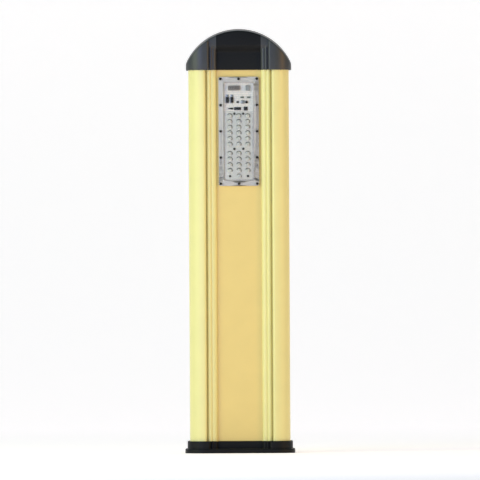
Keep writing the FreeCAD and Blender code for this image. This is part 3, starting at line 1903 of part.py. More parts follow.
def make_earth_stud():
    """Earth stud with washer and nut on the equipment plate."""
    at = ("earth_x", "plate_back - earth_head_height", "earth_z")
    reach = "earth_stud_reach + earth_head_height"
    stud = rod("earth_bolt", "earth_stud_radius", reach, at, "+y")
    washer = rod(
        "earth_washer",
        "earth_washer_radius",
        "earth_washer_height",
        ("earth_x", PLATE_FACE, "earth_z"),
        "+y",
    )
    nut = hexagon(
        "earth_nut",
        "earth_nut_radius",
        "earth_nut_height",
        ("earth_x", f"{PLATE_FACE} + earth_washer_height", "earth_z"),
        "+y",
    )
    head = hexagon("earth_head", "earth_nut_radius", "earth_head_height", at, "+y")
    keep("earth_stud", joined("earth_stud", [stud, washer, nut, head]))


def make_cable_clamp():
    """Saddle that holds the supply cable on the plate."""
    saddle = block(
        "clamp_block",
        ("clamp_x - clamp_half_width", "clamp_x + clamp_half_width"),
        (PLATE_FACE, f"{PLATE_FACE} + clamp_depth"),
        ("clamp_low_z", "clamp_low_z + clamp_height"),
    )
    hole = rod(
        "clamp_tunnel",
        "clamp_hole",
        "4 * clamp_height",
        ("clamp_x", f"{PLATE_FACE} + clamp_depth / 2", "clamp_low_z - clamp_height"),
        "+z",
    )
    keep("supply_cable_clamp", cut("supply_cable_clamp", saddle, [hole]))


# ---------------------------------------------------------------- wiring


def rounded_route(points):
    """A wire of straight runs joined by tangent arcs as large as the runs allow."""
    edges = []
    here = points[0]
    for before, corner, after in zip(points, points[1:], points[2:]):
        back = before - corner
        ahead = after - corner
        half_turn = (math.pi - back.getAngle(ahead)) / 2
        cut_back = 0.45 * min(back.Length, ahead.Length)
        start = corner + back.normalize() * cut_back
        stop = corner + ahead.normalize() * cut_back
        inward = ((start + stop) / 2 - corner).normalize()
        radius = cut_back / math.tan(half_turn)
        middle = corner + inward * (radius / math.cos(half_turn) - radius)
        edges.append(Part.LineSegment(here, start).toShape())
        edges.append(Part.Arc(start, middle, stop).toShape())
        here = stop
    edges.append(Part.LineSegment(here, points[-1]).toShape())
    return Part.Wire(edges)


def tube(label, points, radius):
    """A round cable along a route, which neither a sketch nor a primitive fits."""
    route = [FreeCAD.Vector(*(value(p) for p in point)) for point in points]
    path = rounded_route(route)
    first = path.OrderedEdges[0]
    heading = first.tangentAt(first.FirstParameter)
    section = Part.Wire(Part.Circle(route[0], heading, value(radius)).toShape())
    solid = path.makePipeShell([section], True, False)
    expected = path.Length * math.pi * value(radius) ** 2
    if abs(solid.Volume / expected - 1) > 0.01:
        raise ValueError(f"{label}: the swept volume is {solid.Volume:.1f}, not {expected:.1f}")
    feature = doc.addObject("Part::Feature", label)
    feature.Shape = solid
    keep(label, feature)


def make_wiring():
    """Leads that stay clipped between the module, the terminals and the breaker."""
    rail_top = "rail_z + terminal_half_height"
    rail_bottom = "rail_z - terminal_half_height"
    entry_y = f"{RAIL_FACE} + wire_entry_depth"
    first = "terminal_left + terminal_width / 2"
    second = f"{first} + terminal_pitch"
    third = f"{second} + terminal_pitch"
    last = f"{first} + 4 * terminal_pitch"
    tube(
        "module_cable",
        [
            ("0", f"{PANEL_FACE} + tray_depth - pocket_floor", "gland_z"),
            ("0", "cable_bend_y", "gland_z"),
            ("cable_side_x / 2", "cable_bend_y / 2", "gland_z - cable_drop / 2"),
            ("cable_side_x", "cable_bend_y", "gland_z - cable_drop"),
            ("cable_side_x", "cable_bend_y", "rail_z + cable_drop"),
            (last, entry_y, f"{rail_top} + cable_tail"),
            (last, entry_y, rail_top),
        ],
        "cable_radius",
    )
    tube(
        "earth_wire",
        [
            ("earth_x + earth_washer_radius", f"{PLATE_FACE} + earth_wire_lift", "earth_z"),
            ("earth_x + earth_wire_run", f"{PLATE_FACE} + earth_wire_lift", "earth_z"),
            (
                "earth_x + 2 * earth_wire_run",
                f"{PLATE_FACE} + 2 * earth_wire_lift",
                "earth_z + earth_wire_run",
            ),
            (first, entry_y, f"{rail_bottom} - earth_wire_tail"),
            (first, entry_y, rail_bottom),
        ],
        "wire_radius",
    )
    breaker_bottom = "rail_z - device_half_height"
    breaker_y = f"{entry_y} + breaker_entry_depth"
    for label, from_x, to_x, dip in (
        ("line_wire", "breaker_left + breaker_width * 3 / 4", second, "line_wire_dip"),
        ("neutral_wire", "breaker_left + breaker_width / 4", third, "neutral_wire_dip"),
    ):
        tube(
            label,
            [
                (from_x, breaker_y, breaker_bottom),
                (from_x, breaker_y, f"{breaker_bottom} - {dip}"),
                (to_x, entry_y, f"{breaker_bottom} - {dip}"),
                (to_x, entry_y, rail_bottom),
            ],
            "wire_radius",
        )


# ---------------------------------------------------------------- build, check and write


def main():
    make_foot()
    make_side_profiles()
    make_cap_plate()
    make_cap()
    make_panels()
    make_module_housing()
    make_module_front()
    make_clamp_frame()
    make_led_board()
    make_board_components()
    make_module_gland()
    make_door()
    make_hinges()
    make_lock()
    make_equipment_plate()
    make_rail()
    make_breaker()
    make_arrester()
    make_terminals()
    make_control_unit()
    make_earth_stud()
    make_cable_clamp()
    make_wiring()
    doc.recompute()
    for thing in doc.Objects:
        if {"Invalid", "Error"} & set(thing.State):
            raise RuntimeError(f"{thing.Name} ({thing.Label}) failed: {thing.State}")
    os.makedirs("parts", exist_ok=True)
    for label, thing in parts.items():
        shape = thing.Shape
        if shape.isNull() or not shape.isValid() or not shape.Solids:
            raise RuntimeError(f"{label} has no valid solid")
    for label, thing in parts.items():
        thing.Shape.exportStep(os.path.join("parts", f"{label}.step"))
        print(f"{label:28s} {len(thing.Shape.Solids):3d} solids {thing.Shape.Volume / 1000:9.2f} cm3")
    print(len(parts), "nodes")


main()
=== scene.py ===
"""Looks of a pedestrian crossing light column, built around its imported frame."""

import logging
import math
from collections.abc import Callable, Iterable, Mapping, Sequence
from dataclasses import dataclass
from enum import Enum

import bmesh
import bpy
import numpy as np
from mathutils import Matrix, Vector
from mathutils.geometry import delaunay_2d_cdt

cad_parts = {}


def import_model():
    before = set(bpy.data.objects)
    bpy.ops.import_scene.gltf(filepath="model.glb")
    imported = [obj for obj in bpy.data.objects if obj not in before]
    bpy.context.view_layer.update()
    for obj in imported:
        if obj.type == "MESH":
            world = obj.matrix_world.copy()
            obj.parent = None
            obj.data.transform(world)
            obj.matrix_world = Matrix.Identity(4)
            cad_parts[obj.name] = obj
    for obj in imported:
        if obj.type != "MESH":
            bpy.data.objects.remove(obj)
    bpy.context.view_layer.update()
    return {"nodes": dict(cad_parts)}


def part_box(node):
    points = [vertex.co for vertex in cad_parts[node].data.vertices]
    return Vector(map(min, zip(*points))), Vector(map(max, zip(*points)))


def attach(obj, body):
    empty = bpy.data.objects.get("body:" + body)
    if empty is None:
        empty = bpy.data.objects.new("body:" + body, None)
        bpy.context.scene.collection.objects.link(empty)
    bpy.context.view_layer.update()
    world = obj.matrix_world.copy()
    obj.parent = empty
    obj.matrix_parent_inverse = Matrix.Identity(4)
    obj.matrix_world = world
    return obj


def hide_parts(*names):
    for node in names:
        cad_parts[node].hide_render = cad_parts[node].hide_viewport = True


LOG = logging.getLogger("crossing_light")
MM = 0.001
SAME_PLACE = 1e-7
NEAREST = 1e-9

Point = tuple[float, float]
PathPoint = tuple[float, ...]
Colour = tuple[float, float, float]
Corners = Sequence[bmesh.types.BMVert]


# ------------------------------------------------------------------ node graphs


@dataclass(frozen=True, eq=False)
class Signal:
    """A value that varies over a surface, with Python's arithmetic."""

    graph: "Graph"
    socket: bpy.types.NodeSocket

    def __add__(self, other: "Signal | float") -> "Signal":
        """This value plus another."""
        return self.graph.maths("ADD", self, other)

    __radd__ = __add__

    def __sub__(self, other: "Signal | float") -> "Signal":
        """This value minus another."""
        return self.graph.maths("SUBTRACT", self, other)

    def __rsub__(self, other: float) -> "Signal":
        """A number minus this value."""
        return self.graph.maths("SUBTRACT", other, self)

    def __mul__(self, other: "Signal | float") -> "Signal":
        """This value times another."""
        return self.graph.maths("MULTIPLY", self, other)

    __rmul__ = __mul__

    def __truediv__(self, other: "Signal | float") -> "Signal":
        """This value divided by another."""
        return self.graph.maths("DIVIDE", self, other)

    def __lt__(self, limit: float) -> "Signal":
        """1 where this value is below a limit, and 0 elsewhere."""
        return self.graph.maths("LESS_THAN", self, limit)


class Graph:
    """The shader nodes of one material."""

    def __init__(self, material: bpy.types.Material) -> None:
        """Turns on the material's nodes and keeps its shader.

        Args:
            material: The material that the nodes belong to.
        """
        material.use_nodes = True
        self.tree = material.node_tree
        self.shader = self.tree.nodes["Principled BSDF"]

    def add(
        self,
        kind: str,
        settings: Mapping[str, object] | None = None,
        values: Mapping[str | int, object] | None = None,
        output: str | int = 0,
    ) -> Signal:
        """Adds a node.

        Args:
            kind: The node's type.
            settings: The node's own settings; "stops" are a ramp's (place, colour) pairs.
            values: Numbers, colours or signals for the node's inputs.
            output: Which of the node's outputs is wanted.

        Returns:
            The signal at that output.
        """
        node = self.tree.nodes.new(kind)
        for key, setting in (settings or {}).items():
            if key == "stops":
                self._set_stops(node.color_ramp, setting)
            else:
                setattr(node, key, setting)
        for key, value in (values or {}).items():
            self.feed(node.inputs[key], value)
        return Signal(self, node.outputs[output])

    @staticmethod
    def _set_stops(ramp: bpy.types.ColorRamp, stops: Sequence[tuple[float, Colour]]) -> None:
        """Gives a ramp its stops.

        Args:
            ramp: The ramp.
            stops: Its (place, colour) pairs from left to right.
        """
        while len(ramp.elements) < len(stops):
            ramp.elements.new(1.0)
        for element, (place, colour) in zip(ramp.elements, stops):
            element.position = place
            element.color = (*colour, 1.0)

    def feed(self, socket: bpy.types.NodeSocket, value: object) -> None:
        """Links a signal to a socket, or sets a plain value on it.

        Args:
            socket: The socket.
            value: A signal, a number, a colour or a vector.
        """
        if isinstance(value, Signal):
            self.tree.links.new(value.socket, socket)
        else:
            socket.default_value = value

    def maths(self, operation: str, first: Signal | float, second: Signal | float) -> Signal:
        """A Math node on two values."""
        return self.add("ShaderNodeMath", {"operation": operation}, {0: first, 1: second})

    def blend(self, share: Signal | float, first: object, second: object) -> Signal:
        """Mixes two colours.

        Args:
            share: How much of the second colour shows.
            first: A colour or a signal.
            second: A colour or a signal.

        Returns:
            The mixed colour.
        """
        values = {0: share}
        for socket, colour in ((6, first), (7, second)):
            values[socket] = colour if isinstance(colour, Signal) else (*colour, 1.0)
        return self.add("ShaderNodeMix", {"data_type": "RGBA"}, values, output=2)

    def place(self, stretch: Sequence[float] = (1.0, 1.0, 1.0)) -> Signal:
        """Where a point is on the object, in metres.

        Args:
            stretch: A factor for each axis.

        Returns:
            The position as a vector signal.
        """
        at = self.add("ShaderNodeTexCoord", output="Object")
        return self.add("ShaderNodeVectorMath", {"operation": "MULTIPLY"}, {0: at, 1: stretch})

    def axis(self, letter: str) -> Signal:
        """A point's X, Y or Z on the object, in metres."""
        return self.add("ShaderNodeSeparateXYZ", values={0: self.place()}, output=letter)

    def noise(
        self, size: float, detail: float = 3.0, stretch: Sequence[float] = (1.0, 1.0, 1.0)
    ) -> Signal:
        """Soft noise from 0 to 1.

        Args:
            size: The width of its blotches, in metres.
            detail: How many finer layers it has.
            stretch: A factor for each axis; a small one draws the blotches out along it.

        Returns:
            The noise.
        """
        values = {"Vector": self.place(stretch), "Scale": 1.0 / size, "Detail": detail}
        return self.add("ShaderNodeTexNoise", values=values)

    def flakes(self, size: float) -> Signal:
        """A flat random colour for each cell of a crystal pattern.

        Args:
            size: The width of a cell, in metres.

        Returns:
            The red share of the cell's colour.
        """
        values = {"Vector": self.place(), "Scale": 1.0 / size}
        colour = self.add("ShaderNodeTexVoronoi", values=values, output="Color")
        return self.add("ShaderNodeSeparateColor", values={0: colour})

    def relief(self, height: Signal, depth: float) -> Signal:
        """Bends the surface's normal as a relief would.

        Args:
            height: The relief, from 0 to 1.
            depth: Its real depth, in metres.

        Returns:
            The bent normal.
        """
        values = {"Strength": 1.0, "Distance": depth, "Height": height}
        return self.add("ShaderNodeBump", values=values, output="Normal")

    def surface(self, values: Mapping[str, object]) -> None:
        """Sets the shader's own sockets.

        Args:
            values: The value or signal for each socket's name.
        """
        for name, value in values.items():
            self.feed(self.shader.inputs[name], value)


# ------------------------------------------------------------------ finishes


@dataclass(frozen=True)
class Finish:
    """A plain moulded, painted or cast surface with soft mottling and a fine grain."""

    name: str
    slot: str
    colour: Colour
    roughness: float = 0.45
    metallic: float = 0.0
    mottle: float = 0.05
    mottle_size: float = 0.06
    grain: float = 0.00004
    grain_size: float = 0.0012
    coat: float = 0.0
    coat_roughness: float = 0.1
    specular: float = 0.5
    patch_gloss: float = 0.10
    grain_gloss: float = 0.06

    def shade(self, share: float) -> Colour:
        """The finish's colour made lighter or darker by a share."""
        return tuple(min(1.0, part * (1.0 + share)) for part in self.colour)

    def paint(self, graph: Graph) -> dict[str, object]:
        """Makes the signals of the finish.

        Args:
            graph: The graph of the finish's material.

        Returns:
            The value of each shader socket by name.
        """
        patches = graph.noise(self.mottle_size)
        fine = graph.noise(self.grain_size, detail=2.0)
        return {
            "Base Color": graph.blend(patches, self.shade(-self.mottle), self.shade(self.mottle)),
            "Roughness": self.roughness
            + (patches - 0.5) * self.patch_gloss
            + (fine - 0.5) * self.grain_gloss,
            "Metallic": self.metallic,
            "Specular IOR Level": self.specular,
            "Normal": graph.relief(fine, self.grain),
            "Coat Weight": self.coat,
            "Coat Roughness": self.coat_roughness,
        }

    def material(self) -> bpy.types.Material:
        """The finish's material, made when first asked for.

        Returns:
            The material.
        """
        found = bpy.data.materials.get(self.name)
        if found is None:
            found = bpy.data.materials.new(self.name)
            graph = Graph(found)
            graph.surface(self.paint(graph))
        return found


@dataclass(frozen=True)
class PowderCoat(Finish):
    """Baked powder paint: a low orange-peel relief under a thin gloss."""

    peel: float = 0.00007
    peel_size: float = 0.0028

    def paint(self, graph: Graph) -> dict[str, object]:
        """The plain surface with the paint's own relief in place of its grain.

        Args:
            graph: The graph of the finish's material.

        Returns:
            The value of each shader socket by name.
        """
        sockets = super().paint(graph)
        peel = graph.noise(self.peel_size, detail=1.0)
        sockets["Normal"] = graph.relief(peel, self.peel)
        return sockets


@dataclass(frozen=True)
class ZincPlate(Finish):
    """Galvanised or plated steel with faint crystals."""

    crystal_size: float = 0.006
    crystal_gloss: float = 0.12
    contrast: float = 2.0

    def paint(self, graph: Graph) -> dict[str, object]:
        """The plain surface, its colour and gloss varied from crystal to crystal.

        Args:
            graph: The graph of the finish's material.

        Returns:
            The value of each shader socket by name.
        """
        sockets = super().paint(graph)
        crystals = graph.flakes(self.crystal_size)
        swing = self.contrast * self.mottle
        sockets["Base Color"] = graph.blend(crystals, self.shade(-swing), self.shade(swing))
        sockets["Roughness"] = self.roughness + (crystals - 0.5) * self.crystal_gloss
        return sockets


@dataclass(frozen=True)
class BrushedMetal(Finish):
    """Metal with fine lines along one axis."""

    lines: tuple[float, float, float] = (1.0, 1.0, 0.04)
    line_width: float = 0.0006
    line_gloss: float = 0.25

    def paint(self, graph: Graph) -> dict[str, object]:
        """The plain surface with drawn-out scratches.

        Args:
            graph: The graph of the finish's material.

        Returns:
            The value of each shader socket by name.
        """
        sockets = super().paint(graph)
        scratches = graph.noise(self.line_width, detail=4.0, stretch=self.lines)
        sockets["Roughness"] = self.roughness + (scratches - 0.5) * self.line_gloss
        sockets["Normal"] = graph.relief(scratches, self.grain)
        return sockets


@dataclass(frozen=True)
class ClearPlastic(Finish):
    """See-through plastic: open where it is seen straight on, and denser along its edges."""

    cover: float = 0.16
    edge_cover: float = 0.5
    edge_blend: float = 0.3
    haze_size: float = 0.012
    haze_share: float = 0.4

    def paint(self, graph: Graph) -> dict[str, object]:
        """The plain surface, seen through except for its haze and its edges.

        Args:
            graph: The graph of the finish's material.

        Returns:
            The value of each shader socket by name.
        """
        sockets = super().paint(graph)
        haze = (graph.noise(self.haze_size, detail=4.0) - 0.5) * self.cover * self.haze_share
        slant = graph.add(
            "ShaderNodeLayerWeight", values={"Blend": self.edge_blend}, output="Facing"
        )
        sockets["Alpha"] = self.cover + haze + slant * self.edge_cover
        return sockets


@dataclass(frozen=True)
class SolderMask(Finish):
    """Circuit board with faint copper areas and tracks under its mask."""

    track_colour: Colour = (0.50, 0.51, 0.52)
    track_share: float = 0.6
    mask_step: float = 0.00003

    def paint(self, graph: Graph) -> dict[str, object]:
        """The plain surface with a grid of copper areas, their gaps a little darker.

        Args:
            graph: The graph of the finish's material.

        Returns:
            The value of each shader socket by name.
        """
        sockets = super().paint(graph)
        turned = graph.add(
            "ShaderNodeMapping",
            values={"Vector": graph.place(), "Rotation": (math.radians(90.0), 0.0, 0.0)},
        )
        areas = graph.add(
            "ShaderNodeTexBrick",
            {"offset": 0.37, "squash": 1.6, "squash_frequency": 3},
            {
                "Vector": turned,
                "Scale": 60.0,
                "Mortar Size": 0.035,
                "Mortar Smooth": 0.2,
                "Brick Width": 0.55,
                "Row Height": 0.30,
            },
            output="Fac",
        )
        shown = areas * self.track_share
        sockets["Base Color"] = graph.blend(shown, sockets["Base Color"], self.track_colour)
        sockets["Normal"] = graph.relief(1.0 - areas, self.mask_step)
        return sockets


@dataclass(frozen=True)
class StripedInsulation(Finish):
    """Wire insulation with a second colour wound round it."""

    stripe: Colour = (0.80, 0.72, 0.08)
    turn: float = 0.012
    slant: float = 1.3
    stripe_share: float = 0.35

    def paint(self, graph: Graph) -> dict[str, object]:
        """The plain surface with slanting bands.

        Args:
            graph: The graph of the finish's material.

        Returns:
            The value of each shader socket by name.
        """
        sockets = super().paint(graph)
        along = (graph.axis("X") * self.slant + graph.axis("Z")) / self.turn
        striped = graph.maths("FRACT", along, 0.0) < self.stripe_share
        sockets["Base Color"] = graph.blend(striped, sockets["Base Color"], self.stripe)
        return sockets


class Finishes(Enum):
    """Every finish on the column."""

    BODY_PAINT = PowderCoat("body_powder_coat", "yellow_paint", (0.80, 0.69, 0.285), 0.38)
    PANEL_PAINT = PowderCoat("panel_powder_coat", "panel_paint", (0.77, 0.565, 0.20), 0.46)
    BLACK_CASTING = PowderCoat(
        "black_casting", "black_casting", (0.013, 0.013, 0.0145), 0.36, mottle=0.12, peel=0.00005
    )
    # A darker, duller copy of the black casting: the foot's whole finish, and painted shade at the
    # back of the cap's recesses.
    MATT_CASTING_AND_RECESS_SHADE = PowderCoat(
        "matt_casting_and_recess_shade", "black_casting", (0.0075, 0.0075, 0.0085), 0.46, mottle=0.12, specular=0.14
    )
    ZINC = ZincPlate("zinc_plate", "galvanised", (0.52, 0.54, 0.55), 0.38, 0.9)
    STAINLESS = BrushedMetal("stainless_steel", "stainless", (0.56, 0.55, 0.53), 0.30, 1.0)
    BLACK_STEEL = Finish("black_oxide_steel", "black_screw", (0.016, 0.013, 0.014), 0.38, 0.4)
    ALUMINIUM = Finish(
        "cast_aluminium", "anodised", (0.63, 0.575, 0.55), 0.45, 0.35, grain=0.00006
    )
    RUBBER = Finish("sealing_rubber", "rubber", (0.02, 0.02, 0.02), 0.7)
    WINDOW = ClearPlastic(
        "clear_polycarbonate", "clear_window", (0.85, 0.85, 0.84), 0.09, grain=0.00001, cover=0.012
    )
    LENS = ClearPlastic(
        "lens_acrylic", "lens_clear", (0.97, 0.94, 0.90), 0.10, grain=0.00001, cover=0.36
    )
    SILICONE = Finish("silicone_gasket", "rubber", (0.58, 0.54, 0.52), 0.5)
    # Painted shade: near black, put on the upper side of each lens collar.
    LENS_PAINTED_SHADE = Finish("lens_collar_painted_shade", "lens_clear", (0.022, 0.020, 0.019), 0.25)
    BOARD = SolderMask("white_solder_mask", "board_white", (0.83, 0.77, 0.71), 0.42)
    CHIP_CASE = Finish("led_ceramic", "led_phosphor", (0.78, 0.78, 0.76), 0.4)
    PHOSPHOR = Finish("led_phosphor", "led_phosphor", (0.86, 0.72, 0.26), 0.3, coat=0.6)
    EPOXY = Finish("black_epoxy", "black_component", (0.008, 0.008, 0.008), 0.42, specular=0.2)
    TIN = BrushedMetal("tinned_copper", "capacitor_metal", (0.34, 0.33, 0.32), 0.34, 1.0)
    GREEN_EPOXY = Finish("green_epoxy", "varistor_green", (0.045, 0.075, 0.05), 0.3, coat=0.4)
    NYLON = Finish("grey_nylon", "white_nylon", (0.17, 0.15, 0.145), 0.5)
    DEVICE = Finish("device_thermoset", "device_white", (0.66, 0.66, 0.64), 0.5)
    GREY_PLASTIC = Finish("grey_polyamide", "grey_plastic", (0.24, 0.25, 0.26), 0.52)
    CHROME = Finish(
        "satin_chrome", "chrome", (0.70, 0.70, 0.70), 0.18, 1.0, mottle=0.02, grain=0.00001
    )
    BRASS = Finish("brass", "brass", (0.68, 0.48, 0.20), 0.3, 1.0)
    SHEATH = Finish("cable_sheath", "cable_black", (0.018, 0.018, 0.018), 0.5)
    EARTH = StripedInsulation("earth_insulation", "wire_green", (0.09, 0.30, 0.05), 0.4)
    BROWN = Finish("brown_insulation", "wire_brown", (0.11, 0.04, 0.018), 0.4)
    BLUE = Finish("blue_insulation", "wire_blue", (0.02, 0.08, 0.36), 0.4)


# ------------------------------------------------------------------ outlines


def trace(path: Sequence[PathPoint], turn_step: float = 6.0, stride: float = 1.0) -> list[Point]:
    """Turns a path of (x, y) and (x, y, radius) points into a closed line.

    Args:
        path: Its points; an arc of the given radius, turning left, leads to a point with one.
        turn_step: The largest turn between two points on an arc, in degrees.
        stride: The longest distance between two points on a straight run.

    Returns:
        The points of the line, the first not repeated.
    """
    points = [Vector(path[0][:2])]
    for step in (*path[1:], path[0][:2]):
        here, there = points[-1], Vector(step[:2])
        if (there - here).length < SAME_PLACE:
            continue
        if len(step) == 3:
            radius, chord = step[2], there - here
            left = Vector((-chord.y, chord.x)).normalized()
            reach = math.sqrt(max(radius**2 - chord.length_squared / 4, 0.0))
            centre = (here + there) / 2 + left * reach
            turn = 2.0 * math.asin(min(1.0, chord.length / 2 / radius))
            count = max(2, math.ceil(math.degrees(turn) / turn_step))
            spoke = here - centre
            for n in range(1, count):
                points.append(centre + Matrix.Rotation(turn * n / count, 2) @ spoke)
        else:
            count = math.ceil((there - here).length / stride)
            points += [here.lerp(there, n / count) for n in range(1, count)]
        points.append(there)
    if (points[0] - points[-1]).length < SAME_PLACE:
        points.pop()
    return [tuple(p) for p in points]


def mirrored(path: Sequence[PathPoint], flip_x: bool = False, flip_y: bool = False) -> list:
    """A path in a mirror; one flip reverses it, so that it still turns left.

    Args:
        path: The path.
        flip_x: Whether left and right change places.
        flip_y: Whether front and back change places.

    Returns:
        The mirrored path.
    """
    points = [(-p[0] if flip_x else p[0], -p[1] if flip_y else p[1]) for p in path]
    bends = [p[2:] for p in path]
    if flip_x != flip_y:
        points = points[::-1]
        bends = [(), *bends[:0:-1]]
    return [(*point, *bend) for point, bend in zip(points, bends)]


def four_quarters(quarter: Sequence[PathPoint]) -> list:
    """A closed path from its front right quarter.

    Args:
        quarter: The quarter's path.

    Returns:
        The whole path.
    """
    return [
        *quarter,
        *mirrored(quarter, flip_y=True),
        *mirrored(quarter, flip_x=True, flip_y=True),
        *mirrored(quarter, flip_x=True),
    ]


def eased(points: Sequence[Point], radius: float, steps: int = 4, least: float = 25.0) -> list:
    """Rounds the sharp corners of a closed line.

    Args:
        points: The line.
        radius: The radius at a right-angled corner.
        steps: How many straight pieces a rounded corner has.
        least: The smallest turn that is rounded, in degrees.

    Returns:
        The line with its corners rounded.
    """
    result = []
    count = len(points)
    for n in range(count):
        before, here, after = (Vector(points[(n + k) % count]) for k in (-1, 0, 1))
        back, ahead = before - here, after - here
        turn = 180.0 - math.degrees(back.angle(ahead))
        if turn < least:
            result.append(tuple(here))
            continue
        reach = 0.45 * min(back.length, ahead.length)
        trim = min(radius * math.tan(math.radians(turn) / 2), reach)
        start, stop = here + back.normalized() * trim, here + ahead.normalized() * trim
        for k in range(steps + 1):
            share = k / steps
            bend = start * (1 - share) ** 2 + here * 2 * share * (1 - share) + stop * share**2
            result.append(tuple(bend))
    return result


def drawn_in(points: Sequence[Point], distance: float) -> list[Point]:
    """Moves a closed line that turns left inwards, with mitred corners.

    Args:
        points: The line.
        distance: How far it moves.

    Returns:
        The moved line, point for point.
    """
    if distance == 0.0:
        return list(points)
    moved = []
    count = len(points)
    for n in range(count):
        before, here, after = (Vector(points[(n + k) % count]) for k in (-1, 0, 1))
        first, second = (here - before).normalized(), (after - here).normalized()
        normal = Vector((-first.y - second.y, first.x + second.x)).normalized()
        lean = max(0.35, normal.dot(Vector((-second.y, second.x))))
        moved.append(tuple(here + normal * (distance / lean)))
    return untangled(moved, points, distance)


def untangled(moved: list[Point], line: Sequence[Point], distance: float) -> list[Point]:
    """Straightens the stretches where a moved line crosses itself.

    Args:
        moved: The moved line.
        line: The line that it was moved from, point for point.
        distance: How far it was moved.

    Returns:
        The moved line, with every stretch that came too near its origin replaced by a
        straight one.
    """
    origin = np.array(line)
    ahead = np.roll(origin, -1, axis=0) - origin
    spots = np.array(moved)[:, None]
    share = ((spots - origin) * ahead).sum(axis=2) / (ahead**2).sum(axis=1)
    nearest = origin + np.clip(share, 0.0, 1.0)[..., None] * ahead
    gap = np.linalg.norm(nearest - spots, axis=2).min(axis=1)
    good = [n for n in range(len(moved)) if gap[n] > 0.998 * distance]
    result = list(moved)
    for start, stop in zip(good, [*good[1:], good[0] + len(moved)]):
        first, last = Vector(moved[start]), Vector(moved[stop % len(moved)])
        for n in range(start + 1, stop):
            spot = first.lerp(last, (n - start) / (stop - start))
            result[n % len(moved)] = tuple(spot)
    return result


def rounded_rectangle(
    centre: Point, width: float, height: float, radius: float, steps: int = 8
) -> list[Point]:
    """A rounded rectangle that turns left.

    Args:
        centre: Its centre.
        width: Its size along the first axis.
        height: Its size along the second axis.
        radius: The radius of its corners.
        steps: How many straight pieces a corner has.

    Returns:
        Its points.
    """
    points = []
    for corner, (side, end) in enumerate(((1, -1), (1, 1), (-1, 1), (-1, -1))):
        middle = (
            centre[0] + side * (width / 2 - radius),
            centre[1] + end * (height / 2 - radius),
        )
        for n in range(steps + 1):
            angle = math.radians(90.0 * (corner - 1 + n / steps))
            points.append(
                (middle[0] + radius * math.cos(angle), middle[1] + radius * math.sin(angle))
            )
    return points


def inside(point: Point, loops: Iterable[Sequence[Point]]) -> bool:
    """Whether a point is inside an odd number of closed lines.

    Args:
        point: The point.
        loops: The lines.

    Returns:
        True for a point between an outline and its holes.
    """
    x, y = point
    odd = False
    for loop in loops:
        for (x1, y1), (x2, y2) in zip(loop, [*loop[1:], loop[0]]):
            if (y1 > y) != (y2 > y) and x < (x2 - x1) * (y - y1) / (y2 - y1) + x1:
                odd = not odd
    return odd


def tiled(loops: Sequence[Sequence[Point]], extra: Sequence[Point] = ()) -> list[tuple[int, ...]]:
    """Triangles over the area between closed lines.

    Args:
        loops: The outline and its holes.
        extra: Further points inside the area.

    Returns:
        Triangles of indices into the loops' points and then the extra points.
    """
    points = [Vector(p) for loop in loops for p in loop] + [Vector(p) for p in extra]
    edges, start = [], 0
    for loop in loops:
        count = len(loop)
        edges += [(start + n, start + (n + 1) % count) for n in range(count)]
        start += count
    found, _, faces, origin, *_ = delaunay_2d_cdt(points, edges, [], 0, NEAREST)
    triangles = []
    for face in faces:
        middle = sum((found[n] for n in face), Vector((0.0, 0.0))) / len(face)
        if inside(tuple(middle), loops):
            triangles.append(tuple(origin[n][0] for n in face))
    return triangles


# ------------------------------------------------------------------ meshes


class Facing(Enum):
    """The way that a turned piece faces, as the turn that brings +Z there."""

    FRONT = Matrix.Rotation(math.pi / 2, 3, "X")
    RIGHT = Matrix.Rotation(math.pi / 2, 3, "Y")


